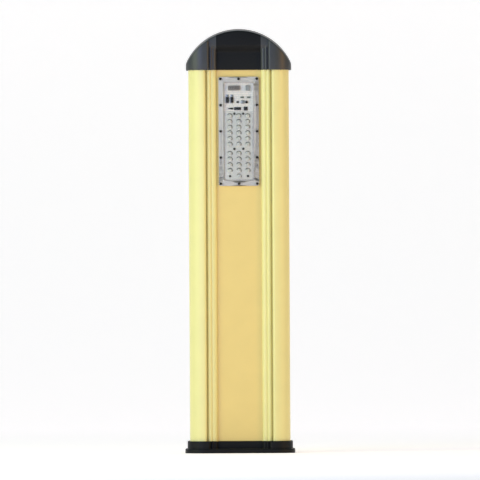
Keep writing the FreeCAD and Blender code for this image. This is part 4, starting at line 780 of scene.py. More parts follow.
class Solid:
    """A mesh that is put together from rings and boxes."""

    def __init__(self) -> None:
        """Starts with no faces."""
        self.mesh = bmesh.new()
        self.finish = 0

    def ring(self, points: Iterable[Sequence[float]]) -> list[bmesh.types.BMVert]:
        """Adds a ring of corners."""
        return [self.mesh.verts.new(p) for p in points]

    def face(self, corners: Corners) -> None:
        """Adds a face with the current finish."""
        self.mesh.faces.new(corners).material_index = self.finish

    def bridge(self, first: Corners, second: Corners) -> None:
        """Joins two rings of the same length with a band of faces.

        Args:
            first: The lower ring.
            second: The upper ring.
        """
        count = len(first)
        for n in range(count):
            after = (n + 1) % count
            self.face((first[n], first[after], second[after], second[n]))

    def loft(
        self,
        rings: Sequence[Sequence[Sequence[float]]],
        close_start: bool = True,
        close_end: bool = True,
    ) -> list[list[bmesh.types.BMVert]]:
        """Joins rings one after another.

        Args:
            rings: The rings, which turn left seen from the last one.
            close_start: Whether the first ring gets a face.
            close_end: Whether the last ring gets a face.

        Returns:
            The corners of each ring.
        """
        made = [self.ring(points) for points in rings]
        for first, second in zip(made, made[1:]):
            self.bridge(first, second)
        if close_start:
            self.face(made[0][::-1])
        if close_end:
            self.face(made[-1])
        return made

    def turned(
        self, profile: Sequence[Point], at: Sequence[float], facing: Facing, segments: int = 32
    ) -> None:
        """A solid turned about an axis.

        Args:
            profile: (radius, height) points from its foot, round the outside, to its top.
            at: Where the axis starts.
            facing: The way that the axis points.
            segments: How many sides it has.
        """
        angles = [2 * math.pi * n / segments for n in range(segments)]
        self.loft(
            [
                [
                    Vector(at)
                    + facing.value @ Vector((radius * math.cos(a), radius * math.sin(a), height))
                    for a in angles
                ]
                for radius, height in profile
            ]
        )

    def block(
        self, low: Sequence[float], high: Sequence[float], radius: float, steps: int = 2
    ) -> None:
        """A box with rounded edges.

        Args:
            low: Its lowest corner.
            high: Its highest corner.
            radius: The radius of its edges.
            steps: How many pieces a rounded edge has.
        """
        size = Vector(high) - Vector(low)
        where = Matrix.Translation((Vector(low) + Vector(high)) / 2) @ Matrix.Diagonal((*size, 1.0))
        made = bmesh.ops.create_cube(self.mesh, size=1.0, matrix=where)
        edges = dict.fromkeys(edge for vert in made["verts"] for edge in vert.link_edges)
        for vert in made["verts"]:
            for face in vert.link_faces:
                face.material_index = self.finish
        bmesh.ops.bevel(
            self.mesh,
            geom=list(edges),
            offset=radius,
            segments=steps,
            profile=0.5,
            affect="EDGES",
            material=-1,
        )

    def plate(
        self, loops: Sequence[Sequence[Point]], to_space: Callable, low: float, high: float
    ) -> None:
        """A flat plate with holes.

        Args:
            loops: Its outline, which turns left, and its holes.
            to_space: Gives the place in space of a point of the outline at a height.
            low: The height of its lower face.
            high: The height of its upper face.
        """
        bottom = [self.ring(to_space(*p, low) for p in loop) for loop in loops]
        top = [self.ring(to_space(*p, high) for p in loop) for loop in loops]
        for below, above in zip(bottom, top):
            self.bridge(below, above)
        under = [v for loop in bottom for v in loop]
        over = [v for loop in top for v in loop]
        for triangle in tiled(loops):
            self.face([over[n] for n in triangle])
            self.face([under[n] for n in triangle[::-1]])

    def object(self, name: str, sharp: float = 40.0) -> bpy.types.Object:
        """Makes the finished object.

        Args:
            name: The object's name.
            sharp: The angle above which an edge stays sharp, in degrees.

        Returns:
            The object, with no material yet.
        """
        bmesh.ops.recalc_face_normals(self.mesh, faces=self.mesh.faces)
        for face in self.mesh.faces:
            face.smooth = True
        mesh = bpy.data.meshes.new(name)
        self.mesh.to_mesh(mesh)
        self.mesh.free()
        mesh.set_sharp_from_angle(angle=math.radians(sharp))
        made = bpy.data.objects.new(name, mesh)
        bpy.context.scene.collection.objects.link(made)
        return made


def quarter_round(radius: float, steps: int) -> list[Point]:
    """(inset, rise) pairs of a rounded edge, from the side to the top.

    Args:
        radius: The edge's radius.
        steps: How many pieces it has.

    Returns:
        The pairs; the inset grows from 0 and the rise from 0, both to the radius.
    """
    angles = [math.pi / 2 * n / steps for n in range(steps + 1)]
    return [(radius * (1 - math.cos(a)), radius * math.sin(a)) for a in angles]


# ------------------------------------------------------------------ sub-assemblies


@dataclass
class SubAssembly:
    """Pieces that ride on one body."""

    nodes: dict[str, bpy.types.Object]
    body: str = "column"

    def keep(
        self, solid: Solid, name: str, finishes: Sequence[Finishes], replaces: Sequence[str] = ()
    ) -> bpy.types.Object:
        """Turns a solid into a piece that rides on the body.

        Args:
            solid: The finished mesh.
            name: The piece's name.
            finishes: Its finishes, in the order of the mesh's own numbers.
            replaces: The CAD nodes that it stands for.

        Returns:
            The piece.
        """
        piece = solid.object(name)
        for finish in finishes:
            piece.data.materials.append(finish.value.material())
        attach(piece, self.body)
        if replaces:
            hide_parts(*replaces)
        LOG.info("%s: %d faces", name, len(piece.data.polygons))
        return piece

    def dress(self, node: str, finish: Finishes, edge: float = 0.0004, steps: int = 2) -> None:
        """Gives a CAD node its finish and rounds its sharp edges.

        Args:
            node: The node's name.
            finish: Its finish.
            edge: The width of its rounded edges; 0 leaves them as they are.
            steps: How many pieces a rounded edge has.
        """
        piece = self.nodes[node]
        piece.data.materials.clear()
        piece.data.materials.append(finish.value.material())
        if edge:
            bevel = piece.modifiers.new("rounded_edges", "BEVEL")
            bevel.width = edge
            bevel.segments = steps
            bevel.limit_method = "ANGLE"
            bevel.angle_limit = math.radians(32.0)
            bevel.harden_normals = True
            bevel.use_clamp_overlap = True
        LOG.info("%s: kept from the frame", node)


@dataclass
class Section(SubAssembly):
    """The column's cross-section, shared by profiles, cap and foot."""

    width: float = 236.8 * MM
    depth: float = 160.0 * MM
    wall: float = 2.5 * MM
    lobe: float = 40.4 * MM
    corner: float = 35.4 * MM
    lobe_edge: float = 5.0 * MM
    groove_width: float = 3.2 * MM
    groove_depth: float = 14.0 * MM
    channel: float = 52.6 * MM
    floor: float = 60.0 * MM
    bead_step: float = 1.2 * MM
    valley: Point = (65.0 * MM, 69.0 * MM)
    bead_edge: float = 70.5 * MM
    inner_bead: float = 9.0 * MM
    outer_bead: float = 5.4 * MM
    slot: float = 3.4 * MM
    shoe_gap: float = 5.8 * MM
    web_front: float = 62.0 * MM
    tongue_out: float = 61.0 * MM
    tongue_in: float = 46.0 * MM
    lip: float = 56.2 * MM
    slot_lift: float = 0.2 * MM

    @property
    def web(self) -> float:
        """Distance from the middle to a lobe's inner face."""
        return self.width / 2 - self.lobe

    def profile(self) -> list[PathPoint]:
        """Path of the right profile's outer skin.

        Returns:
            The path, turning left.
        """
        slot_front = -self.floor - self.slot_lift
        lip_front = slot_front + self.slot
        half = [
            (self.web, -self.web_front),
            (self.tongue_out, -self.web_front),
            (self.tongue_out, lip_front + self.wall),
            (self.tongue_in, lip_front + self.wall),
            (self.tongue_in, lip_front),
            (self.lip, lip_front),
            (self.lip, slot_front),
            (self.channel, slot_front),
            (self.channel, -self.floor - self.bead_step),
            (self.valley[0], -self.valley[1], self.inner_bead),
            (self.web - self.groove_width, -self.bead_edge, self.outer_bead),
            (self.web - self.groove_width, -self.depth / 2 + self.groove_depth),
            (self.web, -self.depth / 2 + self.groove_depth),
            (self.web, -self.depth / 2 + self.lobe_edge),
            (self.web + self.lobe_edge, -self.depth / 2, self.lobe_edge),
            (self.width / 2 - self.corner, -self.depth / 2),
            (self.width / 2, self.corner - self.depth / 2, self.corner),
        ]
        return [*half, *mirrored(half, flip_y=True)]

    def hollow(self) -> list[PathPoint]:
        """Path of the hollow in the right lobe.

        Returns:
            The path, turning left.
        """
        web, side = self.web + self.wall, self.width / 2 - self.wall
        front = self.wall - self.depth / 2
        ease, bend = self.lobe_edge - self.wall, self.corner - self.wall
        half = [
            (web, front + ease),
            (web + ease, front, ease),
            (side - bend, front),
            (side, front + bend, bend),
        ]
        return [*half, *mirrored(half, flip_y=True)]

    def shoe(self) -> list[PathPoint]:
        """Path of the outline that the cap has outside the column's own.

        Returns:
            The path, turning left.
        """
        floor = -self.floor - self.shoe_gap
        front = -self.depth / 2 - self.shoe_gap
        groove_in, groove_out = 68.0 * MM, 70.2 * MM
        return four_quarters(
            [
                (52.4 * MM, floor),
                (52.4 * MM, floor - 2.2 * MM),
                (61.4 * MM, -75.0 * MM, 7.0 * MM),
                (groove_in, -77.0 * MM, 4.0 * MM),
                (groove_in, -76.0 * MM),
                (groove_out, -76.0 * MM),
                (groove_out, front + self.lobe_edge),
                (groove_out + self.lobe_edge, front, self.lobe_edge),
                (self.width / 2 - self.corner, front),
                (
                    self.width / 2 + self.shoe_gap,
                    self.corner - self.depth / 2,
                    self.corner + self.shoe_gap,
                ),
            ]
        )

    def inner(self, gap: float) -> list[PathPoint]:
        """Path round the column's section without its grooves, grown by a gap.

        Args:
            gap: How far it lies outside the section.

        Returns:
            The path, turning left.
        """
        lobe = self.web - gap
        return four_quarters(
            [
                (self.channel - gap, -self.floor - gap),
                (self.channel - gap, -self.floor - self.bead_step),
                (61.6 * MM, -69.7 * MM - gap, self.inner_bead + gap),
                (65.2 * MM, -73.0 * MM - gap),
                (lobe, -73.0 * MM - gap),
                (lobe, self.lobe_edge - self.depth / 2),
                (self.web + self.lobe_edge, -self.depth / 2 - gap, self.lobe_edge + gap),
                (self.width / 2 - self.corner, -self.depth / 2 - gap),
                (self.width / 2 + gap, self.corner - self.depth / 2, self.corner + gap),
            ]
        )


@dataclass
class Profiles(Section):
    """The two extruded side profiles."""

    edge: float = 0.5 * MM

    def build(self) -> None:
        """Makes both profiles."""
        low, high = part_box("side_profile_right")
        for side, flip in (("right", False), ("left", True)):
            paths = [mirrored(p, flip_x=flip) for p in (self.profile(), self.hollow())]
            skin, hollow = eased(trace(paths[0]), self.edge), trace(paths[1])
            solid = Solid()
            solid.plate([skin, hollow], lambda x, y, z: (x, y, z), low.z, high.z)
            name = f"side_profile_{side}"
            self.keep(solid, f"{name}_skin", [Finishes.BODY_PAINT], [name])


@dataclass
class Cap(Section):
    """The domed cap, whose recesses end under a hood with a coved soffit."""

    crown_round: float = 600.0 * MM
    skirt: float = 17.0 * MM
    shell: float = 4.5 * MM
    rim: float = 0.8 * MM
    edge: float = 3.6 * MM
    corner_ease: float = 0.45 * MM
    stride: float = 3.0 * MM
    tile: float = 4.0 * MM
    hood_half: float = 70.3 * MM
    hood_back: float = 62.0 * MM
    hood_face: float = 79.5 * MM
    hood_low: float = 938.0 * MM
    hood_rise: float = 24.0 * MM
    hood_steps: int = 12
    ring_gap: float = 0.2 * MM
    cavity_gap: float = 0.4 * MM
    weld: float = 0.001 * MM

    def __post_init__(self) -> None:
        """Reads the cap's heights from the frame."""
        low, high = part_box("cap_shell")
        self.base, self.top = low.z, high.z

    def dome(self, x: float, y: float, inset: float = 0.0) -> float:
        """The height of the dome over a point.

        Args:
            x: The point's X.
            y: The point's Y.
            inset: How far under the outer surface.

        Returns:
            The height, in metres.
        """
        half = self.width / 2 + self.shoe_gap
        rise = self.top - self.base - self.skirt
        across = (half**2 + rise**2) / (2 * rise)
        radius = across - inset
        arc = self.top - across + math.sqrt(max(radius**2 - x**2, 0.0))
        axis = self.top - self.crown_round
        return axis + math.sqrt(max((arc - axis) ** 2 - y**2, 0.0))

    def hooded(self, point: Point, z: float) -> Point:
        """A point of the outline, brought forward to the hood where that is further out.

        Args:
            point: The point on the outline of the skirt.
            z: The height at which it is wanted.

        Returns:
            The point on the outline at that height.
        """
        x, y = point
        if abs(x) > self.hood_half:
            return point
        share = min(max((z - self.hood_low) / self.hood_rise, 0.0), 1.0)
        smooth = share * share * (3.0 - 2.0 * share)
        reach = self.hood_back + (self.hood_face - self.hood_back) * smooth
        return (x, math.copysign(max(abs(y), reach), y))

    def wall_ring(self, line: Sequence[Point], level: float, steps_left: int) -> list:
        """A ring of the cap's wall, held below the rounded edge of the dome.

        Args:
            line: The outline of the skirt.
            level: The height of the ring.
            steps_left: How many rings follow before the rounded edge.

        Returns:
            The corners of the ring.
        """
        ring = []
        for point in line:
            limit = self.dome(*self.hooded(point, self.top)) - self.edge
            z = min(level, limit - self.ring_gap * steps_left)
            ring.append((*self.hooded(point, z), z))
        return ring

    def lid(self, solid: Solid, rim: Sequence, line: Sequence[Point], inset: float) -> None:
        """Closes a ring of corners with a tiled dome.

        Args:
            solid: The mesh.
            rim: The corners of the ring.
            line: Their places in plan.
            inset: How far the dome lies under the outer surface.
        """
        xs, ys = [p[0] for p in line], [p[1] for p in line]
        inner = drawn_in(line, self.tile * 0.6)
        columns, rows = (round((max(v) - min(v)) / self.tile) for v in (xs, ys))
        extra = []
        for column in range(columns):
            for row in range(rows):
                spot = (min(xs) + (column + 0.5) * self.tile, min(ys) + (row + 0.5) * self.tile)
                if inside(spot, [inner]) and inside(spot, [line]):
                    extra.append(spot)
        tops = solid.ring((x, y, self.dome(x, y, inset)) for x, y in extra)
        corners = [*rim, *tops]
        for triangle in tiled([line], extra):
            solid.face([corners[n] for n in triangle])

    def paint_recess_shade(self, solid: Solid) -> None:
        """Paints shade on the faces at the back of both recesses by giving them the second finish,
        a darker and duller copy of the black casting.

        Args:
            solid: The cap's mesh.
        """
        solid.mesh.normal_update()
        for face in solid.mesh.faces:
            at = face.calc_center_median()
            level = abs(face.normal.y) > 0.5
            # Faces that look front or back inside the channel get the painted shade.
            if level and abs(at.x) < self.channel and abs(at.y) > self.floor:
                face.material_index = 1

    def build(self) -> None:
        """Makes the cap with its cavity, and dresses what holds it."""
        outer = eased(trace(self.shoe(), 4.0, self.stride), self.corner_ease)
        rings = []
        for inset, rise in reversed(quarter_round(self.rim, 3)):
            height = self.base + self.rim - rise
            rings.append([(x, y, height) for x, y in drawn_in(outer, inset)])
        for n in range(self.hood_steps + 1):
            level = self.hood_low + self.hood_rise * n / self.hood_steps
            rings.append(self.wall_ring(outer, level, self.hood_steps - n + 1))
        top_line = [self.hooded(point, self.top) for point in outer]
        single = list(dict.fromkeys(top_line))
        spots = [single.index(point) for point in top_line]
        for inset, rise in quarter_round(self.edge, 6):
            last = drawn_in(single, inset)
            fall = self.edge - rise
            rings.append([(*last[n], self.dome(*last[n]) - fall) for n in spots])
        solid = Solid()
        made = solid.loft(rings, close_start=False, close_end=False)
        self.lid(solid, [made[-1][spots.index(n)] for n in range(len(single))], last, 0.0)
        cavity = trace(self.inner(self.cavity_gap), 8.0, self.stride)
        mouth = solid.ring((x, y, self.base) for x, y in cavity)
        ceiling = solid.ring((x, y, self.dome(x, y, self.shell)) for x, y in cavity)
        solid.bridge(ceiling, mouth)
        self.lid(solid, ceiling, cavity, self.shell)
        rim_line = [tuple(p[:2]) for p in rings[0]]
        rim_corners = [*made[0], *mouth]
        for triangle in tiled([rim_line, cavity]):
            solid.face([rim_corners[n] for n in triangle])
        bmesh.ops.remove_doubles(solid.mesh, verts=solid.mesh.verts, dist=self.weld)
        self.paint_recess_shade(solid)
        # The second finish is painted shade on the faces at the back of the recesses.
        finishes = [Finishes.BLACK_CASTING, Finishes.MATT_CASTING_AND_RECESS_SHADE]
        self.keep(solid, "domed_cap", finishes, ["cap_shell"])
        self.dress("cap_screws", Finishes.BLACK_STEEL, 0.0)
        self.dress("cap_rivet_nuts", Finishes.ZINC, 0.0)
        self.dress("cap_plate", Finishes.ZINC)
        self.dress("cap_gasket", Finishes.RUBBER, 0.0)
        self.dress("cap_plate_screws", Finishes.STAINLESS, 0.0)


@dataclass
class Foot(SubAssembly):
    """The cast foot and its screws."""

    def build(self) -> None:
        """Dresses the foot."""
        self.dress("base_foot", Finishes.MATT_CASTING_AND_RECESS_SHADE, 0.0006, 3)
        self.dress("foot_screws", Finishes.STAINLESS, 0.0)


@dataclass
class Panels(SubAssembly):
    """Front panel, rear panels and the bars behind the door's ends."""

    def build(self) -> None:
        """Dresses the panels."""
        for node in ("front_panel", "rear_panel_lower", "rear_panel_upper"):
            self.dress(node, Finishes.PANEL_PAINT)
        self.dress("door_frame_bars", Finishes.ZINC)
        self.dress("door_seal", Finishes.RUBBER, 0.0002)
        self.dress("hinge_knuckles_fixed", Finishes.STAINLESS, 0.0003)
        self.dress("hinge_pins", Finishes.STAINLESS, 0.0002)


@dataclass
class Door(SubAssembly):
    """The service door with its half of the hinges and the lock's barrel."""

    body: str = "door"

    def build(self) -> None:
        """Dresses the door."""
        self.dress("service_door", Finishes.PANEL_PAINT)
        self.dress("hinge_knuckles_door", Finishes.STAINLESS, 0.0003)
        self.dress("lock_barrel", Finishes.CHROME, 0.0005, 3)
        self.dress("lock_nut", Finishes.STAINLESS, 0.0003)


@dataclass
class Lock(SubAssembly):
    """The lock's spindle and cam."""

    body: str = "lock"

    def build(self) -> None:
        """Dresses the turning parts."""
        self.dress("lock_spindle", Finishes.CHROME, 0.0002)
        self.dress("lock_cam", Finishes.ZINC, 0.0003)


# ------------------------------------------------------------------ LED module


@dataclass
class SocketScrews(SubAssembly):
    """Button-head screws with a hexagon socket, all facing the front."""

    head: float = 3.1 * MM
    height: float = 2.4 * MM
    shank: float = 1.95 * MM
    length: float = 13.0 * MM
    socket: float = 1.45 * MM
    segments: int = 24
    sink: float = 0.4

    def hexagon(self, depth: float) -> list[Vector]:
        """A ring on the hexagon of the socket, at a height over the seat.

        Args:
            depth: The ring's height.

        Returns:
            Its points, with Z along the screw's axis.
        """
        points = []
        for n in range(self.segments):
            angle = 2 * math.pi * n / self.segments
            side = (angle + math.pi / 6) % (math.pi / 3) - math.pi / 6
            reach = self.socket * math.cos(math.pi / 6) / math.cos(side)
            points.append(Vector((reach * math.cos(angle), reach * math.sin(angle), depth)))
        return points

    def circle(self, radius: float, height: float) -> list[Vector]:
        """A round ring at a height over the seat."""
        angles = (2 * math.pi * n / self.segments for n in range(self.segments))
        return [Vector((radius * math.cos(a), radius * math.sin(a), height)) for a in angles]

    def add(self, solid: Solid, seat: Sequence[float]) -> None:
        """Adds one screw.

        Args:
            solid: The mesh that it joins.
            seat: The point under its head, on its axis.
        """
        dome = [
            (self.head * math.cos(a), self.height * (0.35 + 0.65 * math.sin(a)))
            for a in (math.radians(12.0 * n) for n in range(5))
        ]
        rings = [
            self.circle(self.shank * 0.8, -self.length),
            self.circle(self.shank, -self.length * 0.95),
            self.circle(self.shank, 0.0),
            self.circle(self.head * 0.97, 0.0),
            self.circle(self.head, self.height * 0.1),
            *(self.circle(radius, height) for radius, height in dome),
            self.hexagon(self.height * 0.97),
            self.hexagon(self.height * self.sink),
        ]
        place = Facing.FRONT.value
        solid.loft([[Vector(seat) + place @ p for p in ring] for ring in rings])

    def build_all(self, seats: Iterable[Sequence[float]], name: str, node: str) -> None:
        """Makes one piece of all the screws.

        Args:
            seats: The point under each head.
            name: The piece's name.
            node: The CAD node that it stands for.
        """
        solid = Solid()
        for seat in seats:
            self.add(solid, seat)
        self.keep(solid, name, [Finishes.BLACK_STEEL], [node])


@dataclass
class Module(SubAssembly):
    """The LED module: tray, window, lenses and board."""

    bubble_inset: float = 9.9 * MM
    bubble_wall: float = 2.2 * MM
    bubble_rise: float = 4.5 * MM
    bubble_corner: float = 6.0 * MM
    bubble_crown: float = 1.6 * MM
    bubble_root: float = 0.6 * MM
    bubble_top: float = 6.0 * MM
    bubble_ease: float = 1.0 * MM
    flange_corner: float = 5.0 * MM
    flange_edge: float = 0.5 * MM
    plate_corner: float = 3.0 * MM
    sheet: float = 1.8 * MM
    sheet_edge: float = 0.5 * MM
    chip: float = 3.5 * MM
    chip_depth: float = 0.55 * MM
    chip_edge: float = 0.15 * MM
    row_pitch: float = 13.4 * MM
    upper_rows: int = 6
    lower_rows: int = 5
    screw_edge: float = 4.7 * MM
    screw_rows: int = 5
    lens_width: float = 12.0 * MM
    lens_height: float = 11.2 * MM
    lens_foot: float = 0.6 * MM
    lens_rise: float = 4.5 * MM
    lens_sides: int = 32
    lens_screw_drop: float = 4.5 * MM
    dome_share: float = 0.78
    dome_angles: tuple[int, ...] = (12, 26, 40, 54, 68, 80)
    painted_shade_from: float = 55.0
    painted_shade_to: float = 245.0

    def __post_init__(self) -> None:
        """Reads the module's places from the frame."""
        low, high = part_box("module_window")
        self.window_low, self.window_high = low, high
        self.centre = ((low.x + high.x) / 2, (low.z + high.z) / 2)
        self.size = (high.x - low.x, high.z - low.z)
        self.flange_face = low.y + self.bubble_rise
        chips_low, chips_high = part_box("led_chips")
        self.column_pitch = chips_high.x - self.chip / 2
        self.first_row = chips_high.z - self.chip / 2
        self.last_row = chips_low.z + self.chip / 2

    def lens_points(self) -> list[Point]:
        """Centres of the lenses; the last row has only its middle one.

        Returns:
            Their X and Z.
        """
        columns = (-self.column_pitch, 0.0, self.column_pitch)
        upper = [
            (x, self.first_row - row * self.row_pitch)
            for row in range(self.upper_rows)
            for x in columns
        ]
        lower = [
            (x, self.last_row + row * self.row_pitch)
            for row in range(self.lower_rows)
            for x in columns
            if row > 0 or x == 0.0
        ]
        return upper + lower

    def lens_screw_points(self) -> list[Point]:
        """Two screws above the lenses, two in the gap and two in the last row.

        Returns:
            Their X and Z.
        """
        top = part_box("lens_plate")[1].z - self.lens_screw_drop
        above_gap = self.first_row - (self.upper_rows - 1) * self.row_pitch
        below_gap = self.last_row + (self.lower_rows - 1) * self.row_pitch
        near = self.column_pitch / 2
        gap = (above_gap + below_gap) / 2
        places = ((near, top), (near, gap), (self.column_pitch, self.last_row))
        return [(side * x, z) for x, z in places for side in (-1, 1)]

    def rectangle(self, inset: float, corner: float, y: float) -> list[tuple[float, float, float]]:
        """A ring of the window's outline, drawn in by an inset, at one depth.

        Args:
            inset: How far it is drawn in.
            corner: The radius of its corners.
            y: Its depth.

        Returns:
            Its points.
        """
        width, height = (size - 2 * inset for size in self.size)
        line = rounded_rectangle(self.centre, width, height, max(corner, 0.1 * MM))
        return [(x, y, z) for x, z in line]

    def outline(self, node: str) -> list[Point]:
        """The rounded outline of a flat node.

        Args:
            node: The node's name.

        Returns:
            Its points in X and Z.
        """
        low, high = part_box(node)
        centre = ((low.x + high.x) / 2, (low.z + high.z) / 2)
        return rounded_rectangle(centre, high.x - low.x, high.z - low.z, self.plate_corner)

    def build_window(self) -> None:
        """The clear window with its raised bubble."""
        back, face, top = self.window_high.y, self.flange_face, self.window_low.y
        wall, corner, root = self.bubble_inset, self.bubble_corner, self.bubble_root
        rings = [self.rectangle(0.0, self.flange_corner, back)]
        for inset, rise in quarter_round(self.flange_edge, 3):
            level = face + self.flange_edge - rise
            rings.append(self.rectangle(inset, self.flange_corner - inset, level))
        for out, rise in ((1.0, 0.0), (0.3, 0.3), (0.0, 1.0)):
            level = face - rise * root
            rings.append(self.rectangle(wall - out * root, corner + out * root, level))
        for inset, rise in quarter_round(self.bubble_crown, 5):
            level = top + self.bubble_crown - rise
            rings.append(self.rectangle(wall + inset, corner - inset, level))
        rings.append(self.rectangle(wall + self.bubble_top, self.bubble_ease, top))
        solid = Solid()
        outside = solid.loft(rings, close_start=False)
        inset, corner = wall + self.bubble_wall, corner - self.bubble_wall
        ceiling, ease = top + self.bubble_wall, self.bubble_ease
        hollow = [
            self.rectangle(inset, corner, back),
            self.rectangle(inset, corner, ceiling + ease),
            self.rectangle(inset + ease, corner - ease, ceiling),
        ]
        inside_rings = solid.loft(hollow, close_start=False)
        solid.bridge(inside_rings[0], outside[0])
        self.keep(solid, "window", [Finishes.WINDOW], ["module_window"])

    def build_lenses(self) -> None:
        """The lens plate: a thin sheet with an oblong dome and collar over each chip."""
        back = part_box("lens_plate")[1].y
        face = back - self.sheet
        outline = self.outline("lens_plate")
        rings = [[(x, back, z) for x, z in outline]]
        for inset, rise in quarter_round(self.sheet_edge, 3):
            level = face + self.sheet_edge - rise
            rings.append([(x, level, z) for x, z in drawn_in(outline, inset)])
        solid = Solid()
        solid.loft(rings)
        for x, z in self.lens_points():
            self.add_lens(solid, x, face, z)
        # The second finish is the painted shade on the lens collars.
        self.keep(solid, "lens_plate_clear", [Finishes.LENS, Finishes.LENS_PAINTED_SHADE], ["lens_plate"])
        screws = SocketScrews(
            self.nodes,
            head=2.75 * MM,
            height=2.0 * MM,
            shank=1.45 * MM,
            length=6.6 * MM,
            socket=1.2 * MM,
        )
        seats = [(x, face, z) for x, z in self.lens_screw_points()]
        screws.build_all(seats, "lens_plate_screws", "lens_screws")

    def oval(self, x: float, z: float, y: float, scale: float) -> list[tuple[float, float, float]]:
        """A ring of a lens's outline at one depth, grown by a factor.

        Args:
            x: The lens's X.
            z: The lens's Z.
            y: The ring's depth.
            scale: The factor.

        Returns:
            Its points.
        """
        half_width, half_height = self.lens_width / 2 * scale, self.lens_height / 2 * scale
        spokes = (2 * math.pi * n / self.lens_sides for n in range(self.lens_sides))
        return [(x + half_width * math.cos(t), y, z + half_height * math.sin(t)) for t in spokes]

    def add_lens(self, solid: Solid, x: float, face: float, z: float) -> None:
        """One lens: an oblong dome inside a low collar, with painted shade on the collar round its
        upper side.

        Args:
            solid: The mesh that it joins.
            x: Its centre's X.
            face: The Y of the sheet that it stands on.
            z: Its centre's Z.
        """
        collar = ((1.02, -0.3), (1.0, 1.0), (0.94, 1.3), (0.84, 1.1), (0.80, 0.6))
        rings = [self.oval(x, z, face - lift * MM, scale) for scale, lift in collar]
        for angle in self.dome_angles:
            turn = math.radians(angle)
            lift = self.lens_foot + (self.lens_rise - self.lens_foot) * math.sin(turn)
            rings.append(self.oval(x, z, face - lift, self.dome_share * math.cos(turn)))
        collar_rings = solid.loft(rings)[1:4]
        # The collar's faces round its upper side get the second finish, painted shade.
        for ring in collar_rings:
            for n, corner in enumerate(ring):
                angle = 360.0 * (n + 0.5) / self.lens_sides
                if self.painted_shade_from < (angle + 90.0) % 360.0 < self.painted_shade_to:
                    after = ring[(n + 1) % self.lens_sides]
                    for side in corner.link_faces:
                        if after in side.verts:
                            side.material_index = 1

    def build_board(self) -> None:
        """The board and its LED chips."""
        low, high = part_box("led_board")
        solid = Solid()
        solid.plate([self.outline("led_board")], lambda x, z, d: (x, -d, z), -high.y, -low.y)
        self.keep(solid, "circuit_board", [Finishes.BOARD], ["led_board"])
        solid = Solid()
        half = self.chip / 2
        phosphor = [(1.25, 0.5), (1.2, 0.65), (0.8, 0.84), (0.3, 0.9)]
        dome = [(radius * MM, lift * MM) for radius, lift in phosphor]
        for x, z in self.lens_points():
            solid.finish = 0
            near = (x - half, low.y - self.chip_depth, z - half)
            solid.block(near, (x + half, low.y, z + half), self.chip_edge)
            solid.finish = 1
            solid.turned(dome, (x, low.y, z), Facing.FRONT, 20)
        self.keep(solid, "led_emitters", [Finishes.CHIP_CASE, Finishes.PHOSPHOR], ["led_chips"])

    def build_screws(self) -> None:
        """The twelve screws round the window."""
        screws = SocketScrews(self.nodes)
        half_width = self.size[0] / 2 - self.screw_edge
        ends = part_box("module_screws")
        top, bottom = ends[1].z - screws.head, ends[0].z + screws.head
        last = self.screw_rows - 1
        rows = [bottom + (top - bottom) * n / last for n in range(self.screw_rows)]
        seats = [(side * half_width, self.flange_face, z) for z in rows for side in (-1, 1)]
        seats += [(0.0, self.flange_face, z) for z in (top, bottom)]
        screws.build_all(seats, "window_screws", "module_screws")

    def build(self) -> None:
        """Makes the whole module."""
        self.build_window()
        self.build_lenses()
        self.build_board()
        Driver(self.nodes).build()
        self.build_screws()
        self.dress("module_housing", Finishes.ALUMINIUM, 0.0005)
        self.dress("module_gasket", Finishes.SILICONE, 0.0)
        self.dress("module_clamp_frame", Finishes.ZINC)
        self.dress("module_gland", Finishes.GREY_PLASTIC)
        self.dress("module_cable", Finishes.SHEATH, 0.0)


